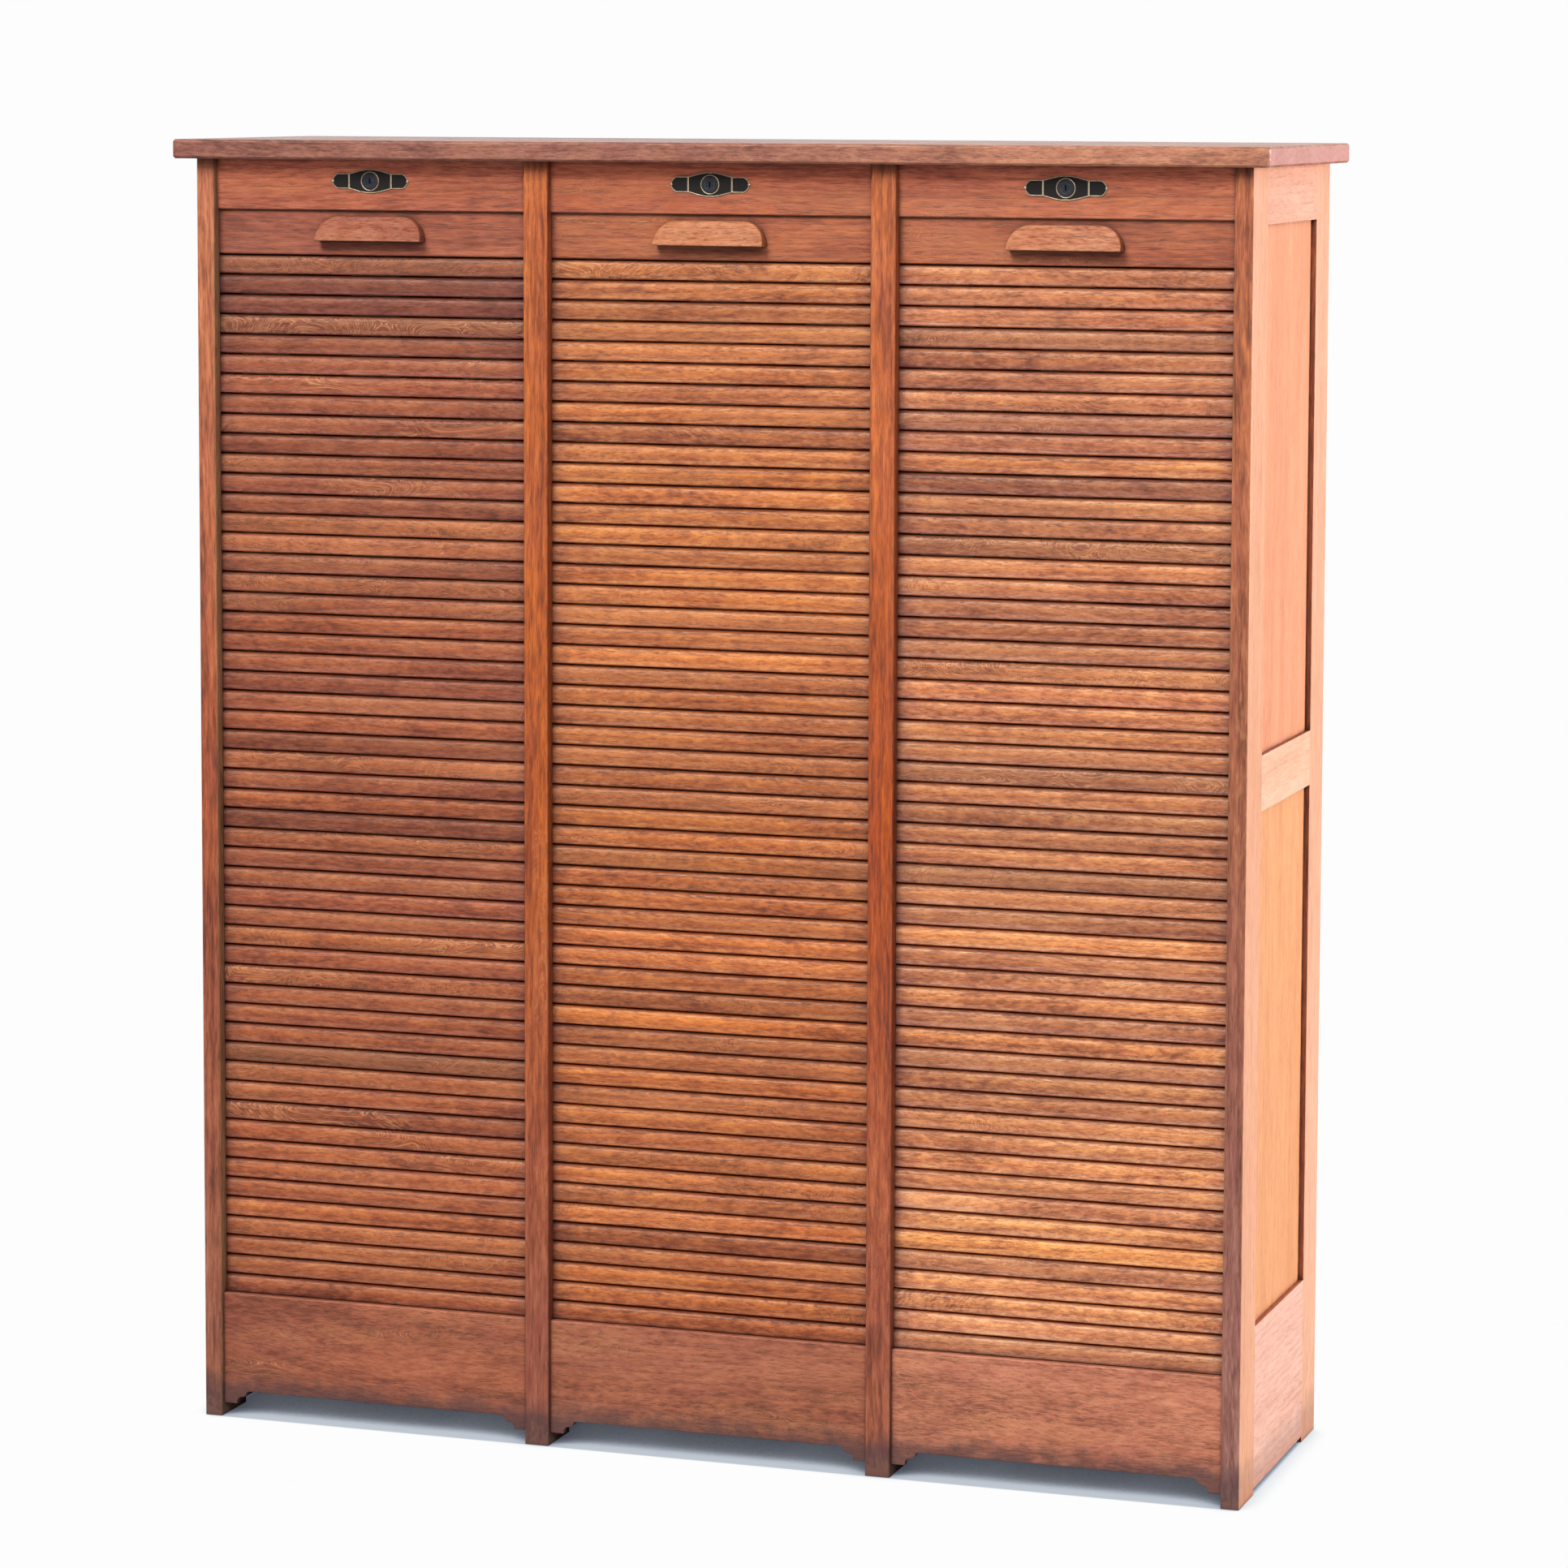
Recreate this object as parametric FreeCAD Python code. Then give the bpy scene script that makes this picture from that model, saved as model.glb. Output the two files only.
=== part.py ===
import FreeCAD, Part
import math
import os

# Filing cabinet with three roller shutters, in oak. All sizes are in millimetres.
# X runs along the front from left to right, Y from front to back and Z up.
# The origin is on the floor, in the middle of the cabinet's box.

# Overall sizes
body_width = 1300.0
body_depth = 384.0
carcass_height = 1537.0
top_thickness = 23.0
top_overhang_side = 23.0
top_overhang_front = 22.0
top_arris = 2.5
top_corner_radius = 7.0

# Carcass timber
gable_thickness = 22.0
partition_thickness = 30.0
front_stile_width = 70.0
rear_stile_width = 67.0
arris = 1.2
gable_top_rail_height = 66.0
gable_middle_rail_bottom = 799.0
gable_middle_rail_height = 65.5
gable_bottom_rail_bottom = 7.0
gable_bottom_rail_top = 199.0
tenon_length = 30.0
tenon_thickness = 7.0
tenon_setback = 6.4
tenon_shoulder = 12.0
tenon_gap = 1.0
panel_groove_depth = 9.0
panel_gap = 1.0
partition_tongue = 8.0
partition_tongue_thickness = 10.0

# Shutter grooves in the side walls
groove_depth = 6.5
groove_side_gap = 0.5
groove_turn_radius = 44.0
rear_groove_setback = 16.0

# Shutter
slat_recess = 16.5
slat_thickness = 9.0
slat_pitch = 24.0
slat_joint = 0.4
slat_arris_height = 4.2
slat_arris_depth = 2.2
slat_end_gap = 1.0
canvas_thickness = 0.8
canvas_width = 62.0
canvas_place_shares = (-0.36, 0.0, 0.36)

# Lead rail, the thick slat that carries the handle
lead_rail_height = 59.8
lead_rail_thickness = 16.0
lead_rail_side_gap = 1.0
lead_rail_top_arris = 1.0
lead_rail_tuck = 6.0

# Wooden handle on the lead rail
handle_width = 136.0
handle_height = 29.0
handle_projection = 20.0
handle_top_projection = 8.0
handle_corner_radius = 27.0
handle_rise = 17.6
handle_edge_bevel = 1.6
handle_lip = 9.0
handle_end_wall = 16.0
handle_pocket_height = 13.0
handle_pocket_bevel = 4.0

# Fixed top rail over each shutter
top_rail_recess = 11.0
top_rail_thickness = 22.0
top_rail_height = 60.4
top_rail_rebate_height = 8.0
top_rail_lip = 4.5

# Lock, mortised into the top rail from below
lock_rise = 34.8
lock_case_width = 62.0
lock_case_depth = 12.6
lock_case_height = 36.4
lock_case_wall = 1.6
lock_front_wall = 6.0
lock_fit_gap = 0.2
boss_radius = 9.5
boss_projection = 2.7
boss_gap = 0.3
plug_radius = 6.0
plug_fit = 0.05
plug_sink = 0.3
plug_tail_gap = 0.2
cam_thickness = 3.0
cam_reach = 13.0
cam_width = 5.0
keyhole_width = 1.8
keyhole_height = 7.0
keyhole_depth = 9.0
hook_thickness = 3.0
hook_layer_gap = 1.0
hook_pivot_side = 10.0
hook_pivot_rise = 11.4
hook_reach = 24.0
hook_arm_width = 6.0
hook_claw_reach = 7.0
hook_claw_height = 5.0
hook_boss_radius = 5.0
hook_pin_radius = 2.0
hook_pin_fit = 0.06
hook_side_play = 0.5
hook_swing_gap = 2.0

# Strike plate on the top edge of the lead rail
strike_length = 46.0
strike_width = 12.0
strike_thickness = 2.0
strike_slot_gap = 1.0

# Lock escutcheon
escutcheon_length = 96.0
escutcheon_end_height = 18.0
escutcheon_middle_height = 28.0
escutcheon_end_cell = 21.0
escutcheon_tip = 6.0
escutcheon_shoulder = 13.0
escutcheon_crest = 5.0
escutcheon_thickness = 1.2
escutcheon_sink = 0.4
escutcheon_rim = 1.3

# Plinth boards with bracket feet
plinth_recess = 7.0
plinth_thickness = 8.5
plinth_top = 152.3
bracket_foot_height = 15.0
bracket_foot_length = 17.0
bracket_step = 2.0
bracket_ogee_radius = 6.5
arch_height = 31.0

# Inside: bottom boards, shelves, cleats and backs
interior_setback = 36.0
housing_depth = 6.0
housing_gap = 0.5
bottom_board_thickness = 18.0
bottom_board_drop = 4.0
shelf_thickness = 16.0
shelf_count = 3
shelf_side_gap = 1.0
shelf_setback = 4.0
cleat_width = 14.0
cleat_height = 18.0
cleat_end_gap = 14.0
false_back_thickness = 8.0
false_back_gap = 9.0
back_panel_thickness = 8.0
back_panel_bottom = 40.0

overrun = 5.0
same_place = 0.05

top_depth = body_depth + top_overhang_front
front_y = top_overhang_front - top_depth / 2
rear_y = front_y + body_depth
left_x = -body_width / 2
right_x = body_width / 2
bay_width = (body_width - 2 * gable_thickness - 2 * partition_thickness) / 3
bay_step = bay_width + partition_thickness
bay_names = ("left", "centre", "right")
bay_centres = (-bay_step, 0.0, bay_step)
partition_names = ("left", "right")
partition_centres = (-bay_step / 2, bay_step / 2)

slat_front_y = front_y + slat_recess
slat_back_y = slat_front_y + slat_thickness
slat_length = bay_width + 2 * (groove_depth - slat_end_gap)
groove_half = slat_thickness / 2 + groove_side_gap
front_groove_y = slat_front_y + slat_thickness / 2
rear_groove_y = rear_y - rear_groove_setback
top_rail_bottom = carcass_height - top_rail_height
top_rail_front_y = front_y + top_rail_recess
top_rail_back_y = top_rail_front_y + top_rail_thickness
rebate_top = top_rail_bottom + top_rail_rebate_height
lead_rail_top = top_rail_bottom + lead_rail_tuck
lead_rail_bottom = lead_rail_top - lead_rail_height
slat_count = math.ceil((lead_rail_bottom - plinth_top) / slat_pitch) + 1
groove_turn_height = plinth_top - 2 * slat_pitch
lead_rail_back_y = slat_front_y + lead_rail_thickness
lock_height = top_rail_bottom + lock_rise
case_front_y = top_rail_front_y + lock_front_wall
case_back_y = case_front_y + lock_case_depth
case_inner_y = case_front_y + lock_case_wall
cam_front_y = case_inner_y + plug_tail_gap
cam_back_y = cam_front_y + cam_thickness
hook_front_y = cam_back_y + hook_layer_gap
hook_back_y = hook_front_y + hook_thickness
hook_pivot_z = rebate_top + hook_pivot_rise
false_back_y = rear_groove_y - groove_half - false_back_gap - false_back_thickness
bottom_board_top = plinth_top - bottom_board_drop
interior_front_y = front_y + interior_setback
clear_height = (carcass_height - bottom_board_top - shelf_count * shelf_thickness) / (shelf_count + 1)


def slab(x_pair, y_pair, z_pair):
    """A box between two limits along each axis, given in any order."""
    low = FreeCAD.Vector(min(x_pair), min(y_pair), min(z_pair))
    size = (abs(pair[1] - pair[0]) for pair in (x_pair, y_pair, z_pair))
    return Part.makeBox(*size, low)


def cylinder_y(radius, x_place, z_place, y_pair):
    """A round bar along Y."""
    start = FreeCAD.Vector(x_place, min(y_pair), z_place)
    return Part.makeCylinder(radius, abs(y_pair[1] - y_pair[0]), start, FreeCAD.Vector(0, 1, 0))


def plate_xz(edges, y_front, depth):
    """A closed outline in the XZ plane, extruded backwards."""
    face = Part.Face(Part.Wire(Part.__sortEdges__(edges)))
    solid = face.extrude(FreeCAD.Vector(0, depth, 0))
    solid.translate(FreeCAD.Vector(0, y_front, 0))
    return solid


def lines(points):
    """Straight edges through the points, in order."""
    return [Part.LineSegment(a, b).toShape() for a, b in zip(points, points[1:])]


def arc(start, through, end):
    """A circular edge through three points."""
    return Part.Arc(start, through, end).toShape()


def near(value, place):
    return abs(value - place) < same_place


def edges_at(solid, wanted):
    """The edges whose two ends both pass a test on their points."""
    return [edge for edge in solid.Edges if all(wanted(vertex.Point) for vertex in edge.Vertexes)]


def long_edges(edges, length):
    return [edge for edge in edges if edge.Length > length]


def export(solid, name):
    """Write one node."""
    solid.exportStep("parts/" + name + ".step")


def groove_band(x_pair):
    """The U-shaped path of the shutter: down the front, round under the floor and up the back."""
    turn_z = groove_turn_height
    radius = groove_turn_radius
    front_turn_y = front_groove_y + radius
    rear_turn_y = rear_groove_y - radius
    top_z = carcass_height + overrun
    x_low = min(x_pair)
    diagonal = math.sqrt(2) / 2

    def side(reach, inward):
        """One edge of the band, at a distance outside or inside its middle line."""
        front = front_groove_y + inward * groove_half
        rear = rear_groove_y - inward * groove_half
        bend = reach * diagonal
        points = [FreeCAD.Vector(x_low, y, z) for y, z in (
            (front, top_z), (front, turn_z), (front_turn_y - bend, turn_z - bend),
            (front_turn_y, turn_z - reach), (rear_turn_y, turn_z - reach),
            (rear_turn_y + bend, turn_z - bend), (rear, turn_z), (rear, top_z))]
        edges = lines(points[0:2]) + [arc(*points[1:4])] + lines(points[3:5])
        return edges + [arc(*points[4:7])] + lines(points[6:8]), points

    outer, outer_points = side(radius + groove_half, -1)
    inner, inner_points = side(radius - groove_half, 1)
    ends = lines([outer_points[0], inner_points[0]]) + lines([outer_points[-1], inner_points[-1]])
    face = Part.Face(Part.Wire(Part.__sortEdges__(outer + inner + ends)))
    return face.extrude(FreeCAD.Vector(abs(x_pair[1] - x_pair[0]), 0, 0))


def wall_cuts(inner_x, outward):
    """What is cut into the inside of a bay's wall: shutter groove, floor housing, back grooves."""
    floor_z = (bottom_board_top - bottom_board_thickness, bottom_board_top)
    housing_x = (inner_x, inner_x + outward * housing_depth)
    back_x = (inner_x, inner_x + outward * (housing_depth + housing_gap))
    cuts = [groove_band((inner_x, inner_x + outward * groove_depth))]
    cuts.append(slab(housing_x, (interior_front_y, false_back_y), floor_z))
    top_z = carcass_height + overrun
    false_back = (false_back_y, false_back_y + false_back_thickness)
    cuts.append(slab(back_x, false_back, (floor_z[0], top_z)))
    outer_back = (rear_y - back_panel_thickness, rear_y + overrun)
    cuts.append(slab(back_x, outer_back, (back_panel_bottom, top_z)))
    return cuts


def front_stile_blank(wood_x):
    """A stile that runs from the floor to the top board, its two front corners eased."""
    stile = slab(wood_x, (front_y, front_y + front_stile_width), (0, carcass_height))
    corners = long_edges(edges_at(stile, lambda point: near(point.y, front_y)), carcass_height / 2)
    return stile.makeChamfer(arris, corners)


def gable(name, outer_x, inward):
    """A framed side: two stiles that stand on the floor, three rails and two panels."""
    inner_x = outer_x + inward * gable_thickness
    wood_x = (outer_x, inner_x)
    core_x = (outer_x + inward * tenon_setback,
              outer_x + inward * (tenon_setback + tenon_thickness))
    front_edge = front_y + front_stile_width
    rear_edge = rear_y - rear_stile_width
    between_y = (front_edge, rear_edge)
    middle_rail_top = gable_middle_rail_bottom + gable_middle_rail_height
    top_rail_low = carcass_height - gable_top_rail_height
    rails = (
        ("bottom", gable_bottom_rail_bottom, gable_bottom_rail_top),
        ("middle", gable_middle_rail_bottom, middle_rail_top),
        ("top", top_rail_low, carcass_height))
    panels = (
        ("lower", gable_bottom_rail_top, gable_middle_rail_bottom),
        ("upper", middle_rail_top, top_rail_low))
    stiles = {
        "front": front_stile_blank(wood_x),
        "rear": slab(wood_x, (rear_edge, rear_y), (0, carcass_height))}
    wall = wall_cuts(inner_x, -inward)
    joinery = []

    for rail_name, low, high in rails:
        tenon_z = (low + tenon_shoulder, high - tenon_shoulder)
        reach = tenon_length - tenon_gap
        tenons = slab(core_x, (front_edge - reach, rear_edge + reach), tenon_z)
        rail = slab(wood_x, between_y, (low, high)).fuse(tenons)
        for _, panel_low, panel_high in panels:
            hold_z = (panel_low - panel_groove_depth, panel_high + panel_groove_depth)
            rail = rail.cut(slab(core_x, between_y, hold_z))
        export(rail.cut(wall).removeSplitter(), name + "_gable_" + rail_name + "_rail")
        joinery.append(slab(core_x, (front_edge - tenon_length, rear_edge + tenon_length), tenon_z))

    hold = panel_groove_depth - panel_gap
    for panel_name, low, high in panels:
        groove_y = (front_edge - panel_groove_depth, rear_edge + panel_groove_depth)
        joinery.append(slab(core_x, groove_y, (low - panel_groove_depth, high + panel_groove_depth)))
        panel = slab(core_x, (front_edge - hold, rear_edge + hold), (low - hold, high + hold))
        export(panel, name + "_gable_" + panel_name + "_panel")

    for stile_name, stile in stiles.items():
        export(stile.cut(wall + joinery).removeSplitter(), name + "_gable_" + stile_name + "_stile")


def partition(name, centre_x):
    """A dividing wall: a front post on the floor and a board tongued into it, with a rear foot."""
    wood_x = (centre_x - partition_thickness / 2, centre_x + partition_thickness / 2)
    tongue_x = (centre_x - partition_tongue_thickness / 2, centre_x + partition_tongue_thickness / 2)
    post_edge = front_y + front_stile_width
    tall_z = (gable_bottom_rail_bottom, carcass_height)
    cuts = wall_cuts(wood_x[0], 1) + wall_cuts(wood_x[1], -1)
    tongue_groove = slab(tongue_x, (post_edge - partition_tongue, post_edge), tall_z)
    post = front_stile_blank(wood_x).cut(cuts + [tongue_groove])
    export(post.removeSplitter(), name + "_partition_post")

    board = slab(wood_x, (post_edge, rear_y), tall_z)
    foot = slab(wood_x, (rear_y - rear_stile_width, rear_y), (0, gable_bottom_rail_bottom))
    tongue = slab(tongue_x, (post_edge - partition_tongue + tenon_gap, post_edge), tall_z)
    board = board.fuse([foot, tongue]).cut(cuts)
    export(board.removeSplitter(), name + "_partition_board")


def top_board():
    """The top, flush at the back, with worn rounded edges on the other sides."""
    half = body_width / 2 + top_overhang_side
    top_z = carcass_height + top_thickness
    low_y = front_y - top_overhang_front
    board = slab((-half, half), (low_y, rear_y), (carcass_height, top_z))
    corners = [edge for edge in edges_at(board, lambda point: near(point.y, low_y))
               if near(edge.Length, top_thickness)]
    board = board.makeFillet(top_corner_radius, corners)
    rims = [edge for level in (carcass_height, top_z)
            for edge in edges_at(board, lambda point: near(point.z, level))
            if not all(near(vertex.Point.y, rear_y) for vertex in edge.Vertexes)]
    export(board.makeChamfer(top_arris, rims), "top_board")


def top_rail(name, centre_x):
    """The fixed rail over a shutter, rebated behind a lip, with the mortise for the lock."""
    rail_x = (centre_x - bay_width / 2, centre_x + bay_width / 2)
    rail = slab(rail_x, (top_rail_front_y, top_rail_back_y), (top_rail_bottom, carcass_height))
    lower_edge = edges_at(rail, lambda p: near(p.y, top_rail_front_y) and near(p.z, top_rail_bottom))
    rail = rail.makeChamfer(arris, lower_edge)
    lip_y = top_rail_front_y + top_rail_lip
    rebate = slab(rail_x, (lip_y, top_rail_back_y), (top_rail_bottom, rebate_top))
    case_half = lock_case_width / 2 + lock_fit_gap
    mortise = slab((centre_x - case_half, centre_x + case_half), (case_front_y, case_back_y + lock_fit_gap),
                   (rebate_top, rebate_top + lock_case_height + lock_fit_gap))
    hole = cylinder_y(boss_radius + boss_gap, centre_x, lock_height, (top_rail_front_y, case_front_y))
    export(rail.cut([rebate, mortise, hole]).removeSplitter(), name + "_top_rail")


def hook_slot(centre_x):
    """The X limits of the slot that the hook swings through."""
    pivot_x = centre_x + hook_pivot_side
    return (pivot_x - hook_reach - hook_swing_gap, pivot_x + hook_arm_width / 2 + strike_slot_gap)


def lead_rail(name, centre_x):
    """The thick first slat: tongues in the side grooves, and a pocket for hook and strike."""
    tongue_x = (centre_x - slat_length / 2, centre_x + slat_length / 2)
    body_half = bay_width / 2 - lead_rail_side_gap
    rail_z = (lead_rail_bottom, lead_rail_top)
    rail = slab(tongue_x, (slat_front_y, slat_back_y), rail_z)
    body = slab((centre_x - body_half, centre_x + body_half), (slat_back_y, lead_rail_back_y), rail_z)
    rail = rail.fuse(body).removeSplitter()
    front = edges_at(rail, lambda point: near(point.y, slat_front_y))
    lower = [edge for edge in front if all(near(v.Point.z, lead_rail_bottom) for v in edge.Vertexes)]
    rail = rail.makeFillet(slat_arris_depth, lower)
    front = edges_at(rail, lambda point: near(point.y, slat_front_y) and near(point.z, lead_rail_top))
    rail = rail.makeChamfer(lead_rail_top_arris, front)

    slot_x = hook_slot(centre_x)
    pivot_x = centre_x + hook_pivot_side
    swing = math.hypot(hook_reach, hook_claw_reach) + hook_swing_gap
    pocket_y = (hook_front_y - hook_side_play, hook_back_y + hook_side_play)
    pocket_x = (slot_x[0], pivot_x + hook_claw_reach + hook_swing_gap)
    pocket = slab(pocket_x, pocket_y, (hook_pivot_z - swing, lead_rail_top))
    strike_x, strike_y = strike_place(slot_x)
    seat = slab(strike_x, strike_y, (lead_rail_top - strike_thickness, lead_rail_top))
    export(rail.cut([pocket, seat]).removeSplitter(), name + "_lead_rail")

    strike = seat.cut(slab(slot_x, pocket_y, (lead_rail_top - strike_thickness, lead_rail_top)))
    export(strike, name + "_strike_plate")


def strike_place(slot_x):
    """The X and Y limits of the strike plate, centred on its slot."""
    middle_x = sum(slot_x) / 2
    middle_y = (hook_front_y + hook_back_y) / 2
    return ((middle_x - strike_length / 2, middle_x + strike_length / 2),
            (middle_y - strike_width / 2, middle_y + strike_width / 2))


def handle(name, centre_x):
    """A wooden grip with quarter-round upper corners, hollowed for the fingers from below.

    Its face leans back: it stands out most at its foot.
    """
    low_z = lead_rail_bottom + handle_rise
    high_z = low_z + handle_height
    half = handle_width / 2
    radius = handle_corner_radius
    bend = radius * math.sqrt(2) / 2
    front = slat_front_y - handle_projection
    points = [FreeCAD.Vector(centre_x + x, 0, z) for x, z in (
        (-half, low_z), (-half, high_z - radius), (-half + radius - bend, high_z - radius + bend),
        (-half + radius, high_z), (half - radius, high_z),
        (half - radius + bend, high_z - radius + bend), (half, high_z - radius), (half, low_z))]
    outline = lines(points[0:2]) + [arc(*points[1:4])] + lines(points[3:5]) + [arc(*points[4:7])]
    outline += lines(points[6:8]) + lines([points[7], points[0]])
    grip = plate_xz(outline, front, handle_projection)
    lean = [FreeCAD.Vector(centre_x - half, y, z) for y, z in (
        (front, low_z), (slat_front_y, low_z), (slat_front_y, high_z),
        (slat_front_y - handle_top_projection, high_z))]
    wedge = Part.Face(Part.makePolygon(lean + lean[:1])).extrude(FreeCAD.Vector(handle_width, 0, 0))
    grip = grip.common(wedge)

    def on_face(point):
        face_y = front + (handle_projection - handle_top_projection) * (point.z - low_z) / handle_height
        return near(point.y, face_y)
    grip = grip.makeChamfer(handle_edge_bevel, edges_at(grip, on_face))

    pocket_half = half - handle_end_wall
    pocket_top = low_z + handle_pocket_height
    pocket = slab((centre_x - pocket_half, centre_x + pocket_half),
                  (front + handle_lip, slat_front_y), (low_z - overrun, pocket_top))
    corner = edges_at(pocket, lambda p: near(p.z, pocket_top) and near(p.y, front + handle_lip))
    pocket = pocket.makeChamfer(handle_pocket_bevel, corner)
    export(grip.cut(pocket), name + "_handle")


def slat_blank():
    """One slat at X = 0 with its foot at Z = 0: its face falls back to both joints.

    The crown is three flats, because the slats repeat so often.
    """
    height = slat_pitch - slat_joint
    lower = [(slat_back_y, 0), (slat_front_y + slat_arris_depth, 0), (slat_front_y, slat_arris_height)]
    upper = [(y, height - z) for y, z in lower[::-1]]
    corners = lower + upper + lower[:1]
    points = [FreeCAD.Vector(-slat_length / 2, y, z) for y, z in corners]
    return Part.Face(Part.makePolygon(points)).extrude(FreeCAD.Vector(slat_length, 0, 0))


def shutter(name, centre_x):
    """The slats under the lead rail and the canvas strips that join them at the back."""
    blank = slat_blank()
    slats = []
    for index in range(slat_count):
        slat = blank.copy()
        foot_z = lead_rail_bottom - (index + 1) * slat_pitch
        slat.translate(FreeCAD.Vector(centre_x, 0, foot_z))
        slats.append(slat)
    export(Part.makeCompound(slats), name + "_shutter_slats")

    canvas_z = (foot_z, lead_rail_bottom - slat_joint)
    canvas_y = (slat_back_y, slat_back_y + canvas_thickness)
    strips = []
    for share in canvas_place_shares:
        middle = centre_x + share * bay_width
        strips.append(slab((middle - canvas_width / 2, middle + canvas_width / 2), canvas_y, canvas_z))
    export(Part.makeCompound(strips), name + "_shutter_canvas")


def escutcheon(name, centre_x):
    """A long keyhole plate with clipped ends, a wider middle and four sunk cells, all plain."""
    half = escutcheon_length / 2
    end = escutcheon_end_height / 2
    middle = escutcheon_middle_height / 2
    neck = half - escutcheon_end_cell
    shoulder = escutcheon_shoulder
    rim = escutcheon_rim
    place = FreeCAD.Vector(centre_x, 0, lock_height)

    def at(x, z):
        return place + FreeCAD.Vector(x, 0, z)

    quarter = [(escutcheon_crest, middle), (shoulder, middle - rim), (neck, end),
               (half - escutcheon_tip, end), (half, end - escutcheon_tip)]
    right = quarter + [(x, -z) for x, z in quarter[::-1]]
    corners = [at(x, z) for x, z in right + [(-x, z) for x, z in right[::-1]]]
    front = top_rail_front_y - escutcheon_thickness
    plate = plate_xz(lines(corners + corners[:1]), front, escutcheon_thickness)

    cuts = [cylinder_y(boss_radius + boss_gap, centre_x, lock_height, (front, top_rail_front_y))]
    inner_low = boss_radius + boss_gap + 2 * rim
    inner_rise = end - rim + (middle - end) * (neck - rim - inner_low) / (neck - shoulder) / 2
    tip = escutcheon_tip
    for side in (-1, 1):
        end_cell = [(neck + rim, end - rim), (half - tip, end - rim), (half - rim, end - tip),
                    (half - rim, tip - end), (half - tip, rim - end), (neck + rim, rim - end)]
        inner_cell = [(neck - rim, end - rim), (inner_low, inner_rise), (inner_low, -inner_rise),
                      (neck - rim, rim - end)]
        for cell in (end_cell, inner_cell):
            corners = [at(side * x, z) for x, z in cell]
            cuts.append(plate_xz(lines(corners + corners[:1]), front, escutcheon_sink))
    export(plate.cut(cuts), name + "_escutcheon")


def lock_case(centre_x):
    """A hollow lock box with the plug's barrel, the hook's pivot pin and a slot below."""
    wall = lock_case_wall
    half = lock_case_width / 2
    top_z = rebate_top + lock_case_height
    case = slab((centre_x - half, centre_x + half), (case_front_y, case_back_y), (rebate_top, top_z))
    barrel_y = (top_rail_front_y - boss_projection, case_inner_y)
    case = case.fuse(cylinder_y(boss_radius, centre_x, lock_height, barrel_y))
    hollow = slab((centre_x - half + wall, centre_x + half - wall), (case_inner_y, case_back_y - wall),
                  (rebate_top + wall, top_z - wall))
    bore = cylinder_y(plug_radius + plug_fit, centre_x, lock_height, barrel_y)
    slot_y = (hook_front_y - hook_side_play, hook_back_y + hook_side_play)
    slot = slab(hook_slot(centre_x), slot_y, (rebate_top, rebate_top + wall))
    case = case.cut([hollow, bore, slot])
    pivot_x = centre_x + hook_pivot_side
    pin = cylinder_y(hook_pin_radius, pivot_x, hook_pivot_z, (case_inner_y, case_back_y - wall))
    return case.fuse(pin)


def lock_plug(name, centre_x):
    """The turning plug with a plain slot for the key in front and a cam finger behind."""
    front = top_rail_front_y - boss_projection + plug_sink
    plug = cylinder_y(plug_radius, centre_x, lock_height, (front, cam_back_y))
    cam_z = (lock_height - cam_width / 2, lock_height + cam_width / 2)
    plug = plug.fuse(slab((centre_x - cam_reach, centre_x), (cam_front_y, cam_back_y), cam_z))
    keyhole = slab((centre_x - keyhole_width / 2, centre_x + keyhole_width / 2),
                   (front, front + keyhole_depth),
                   (lock_height - keyhole_height / 2, lock_height + keyhole_height / 2))
    export(plug.cut(keyhole), name + "_lock_plug")


def lock_hook(name, centre_x):
    """The hook that swings down out of the case and catches under the strike plate."""
    pivot_x = centre_x + hook_pivot_side
    layer = (hook_front_y, hook_back_y)
    half = hook_arm_width / 2
    tip_x = pivot_x - hook_reach
    arm = slab((tip_x, pivot_x), layer, (hook_pivot_z - half, hook_pivot_z + half))
    claw = slab((tip_x, tip_x + hook_claw_height), layer, (hook_pivot_z - hook_claw_reach, hook_pivot_z))
    boss = cylinder_y(hook_boss_radius, pivot_x, hook_pivot_z, layer)
    hole = cylinder_y(hook_pin_radius + hook_pin_fit, pivot_x, hook_pivot_z, layer)
    export(boss.fuse([arm, claw]).cut(hole).removeSplitter(), name + "_lock_hook")


def plinth(name, centre_x):
    """The board below a shutter, cut to an arch between two stepped bracket feet."""
    radius = bracket_ogee_radius
    bend = radius * math.sqrt(2) / 2
    foot_x = bracket_foot_length
    rise_z = bracket_foot_height + bracket_step
    profile = (
        (0, bracket_foot_height), (foot_x, bracket_foot_height), (foot_x, rise_z),
        (foot_x + radius - bend, rise_z + bend), (foot_x + radius, rise_z + radius),
        (foot_x + radius + bend, rise_z + 2 * radius - bend), (foot_x + 2 * radius, rise_z + 2 * radius),
        (foot_x + 2 * radius + bracket_step, rise_z + 2 * radius),
        (foot_x + 2 * radius + bracket_step, arch_height))
    outline = []
    ends = []
    for side in (-1, 1):
        points = [FreeCAD.Vector(centre_x + side * (bay_width / 2 - x), 0, z) for x, z in profile]
        outline += lines(points[0:3]) + [arc(*points[2:5]), arc(*points[4:7])] + lines(points[6:9])
        ends.append((points[0], points[-1]))
    top = [FreeCAD.Vector(end[0].x, 0, plinth_top) for end in ends]
    outline += lines([ends[0][0], top[0], top[1], ends[1][0]]) + lines([ends[0][1], ends[1][1]])
    board = plate_xz(outline, front_y + plinth_recess, plinth_thickness)
    upper = edges_at(board, lambda p: near(p.z, plinth_top) and near(p.y, front_y + plinth_recess))
    export(board.makeChamfer(arris, upper), name + "_plinth")


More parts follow.
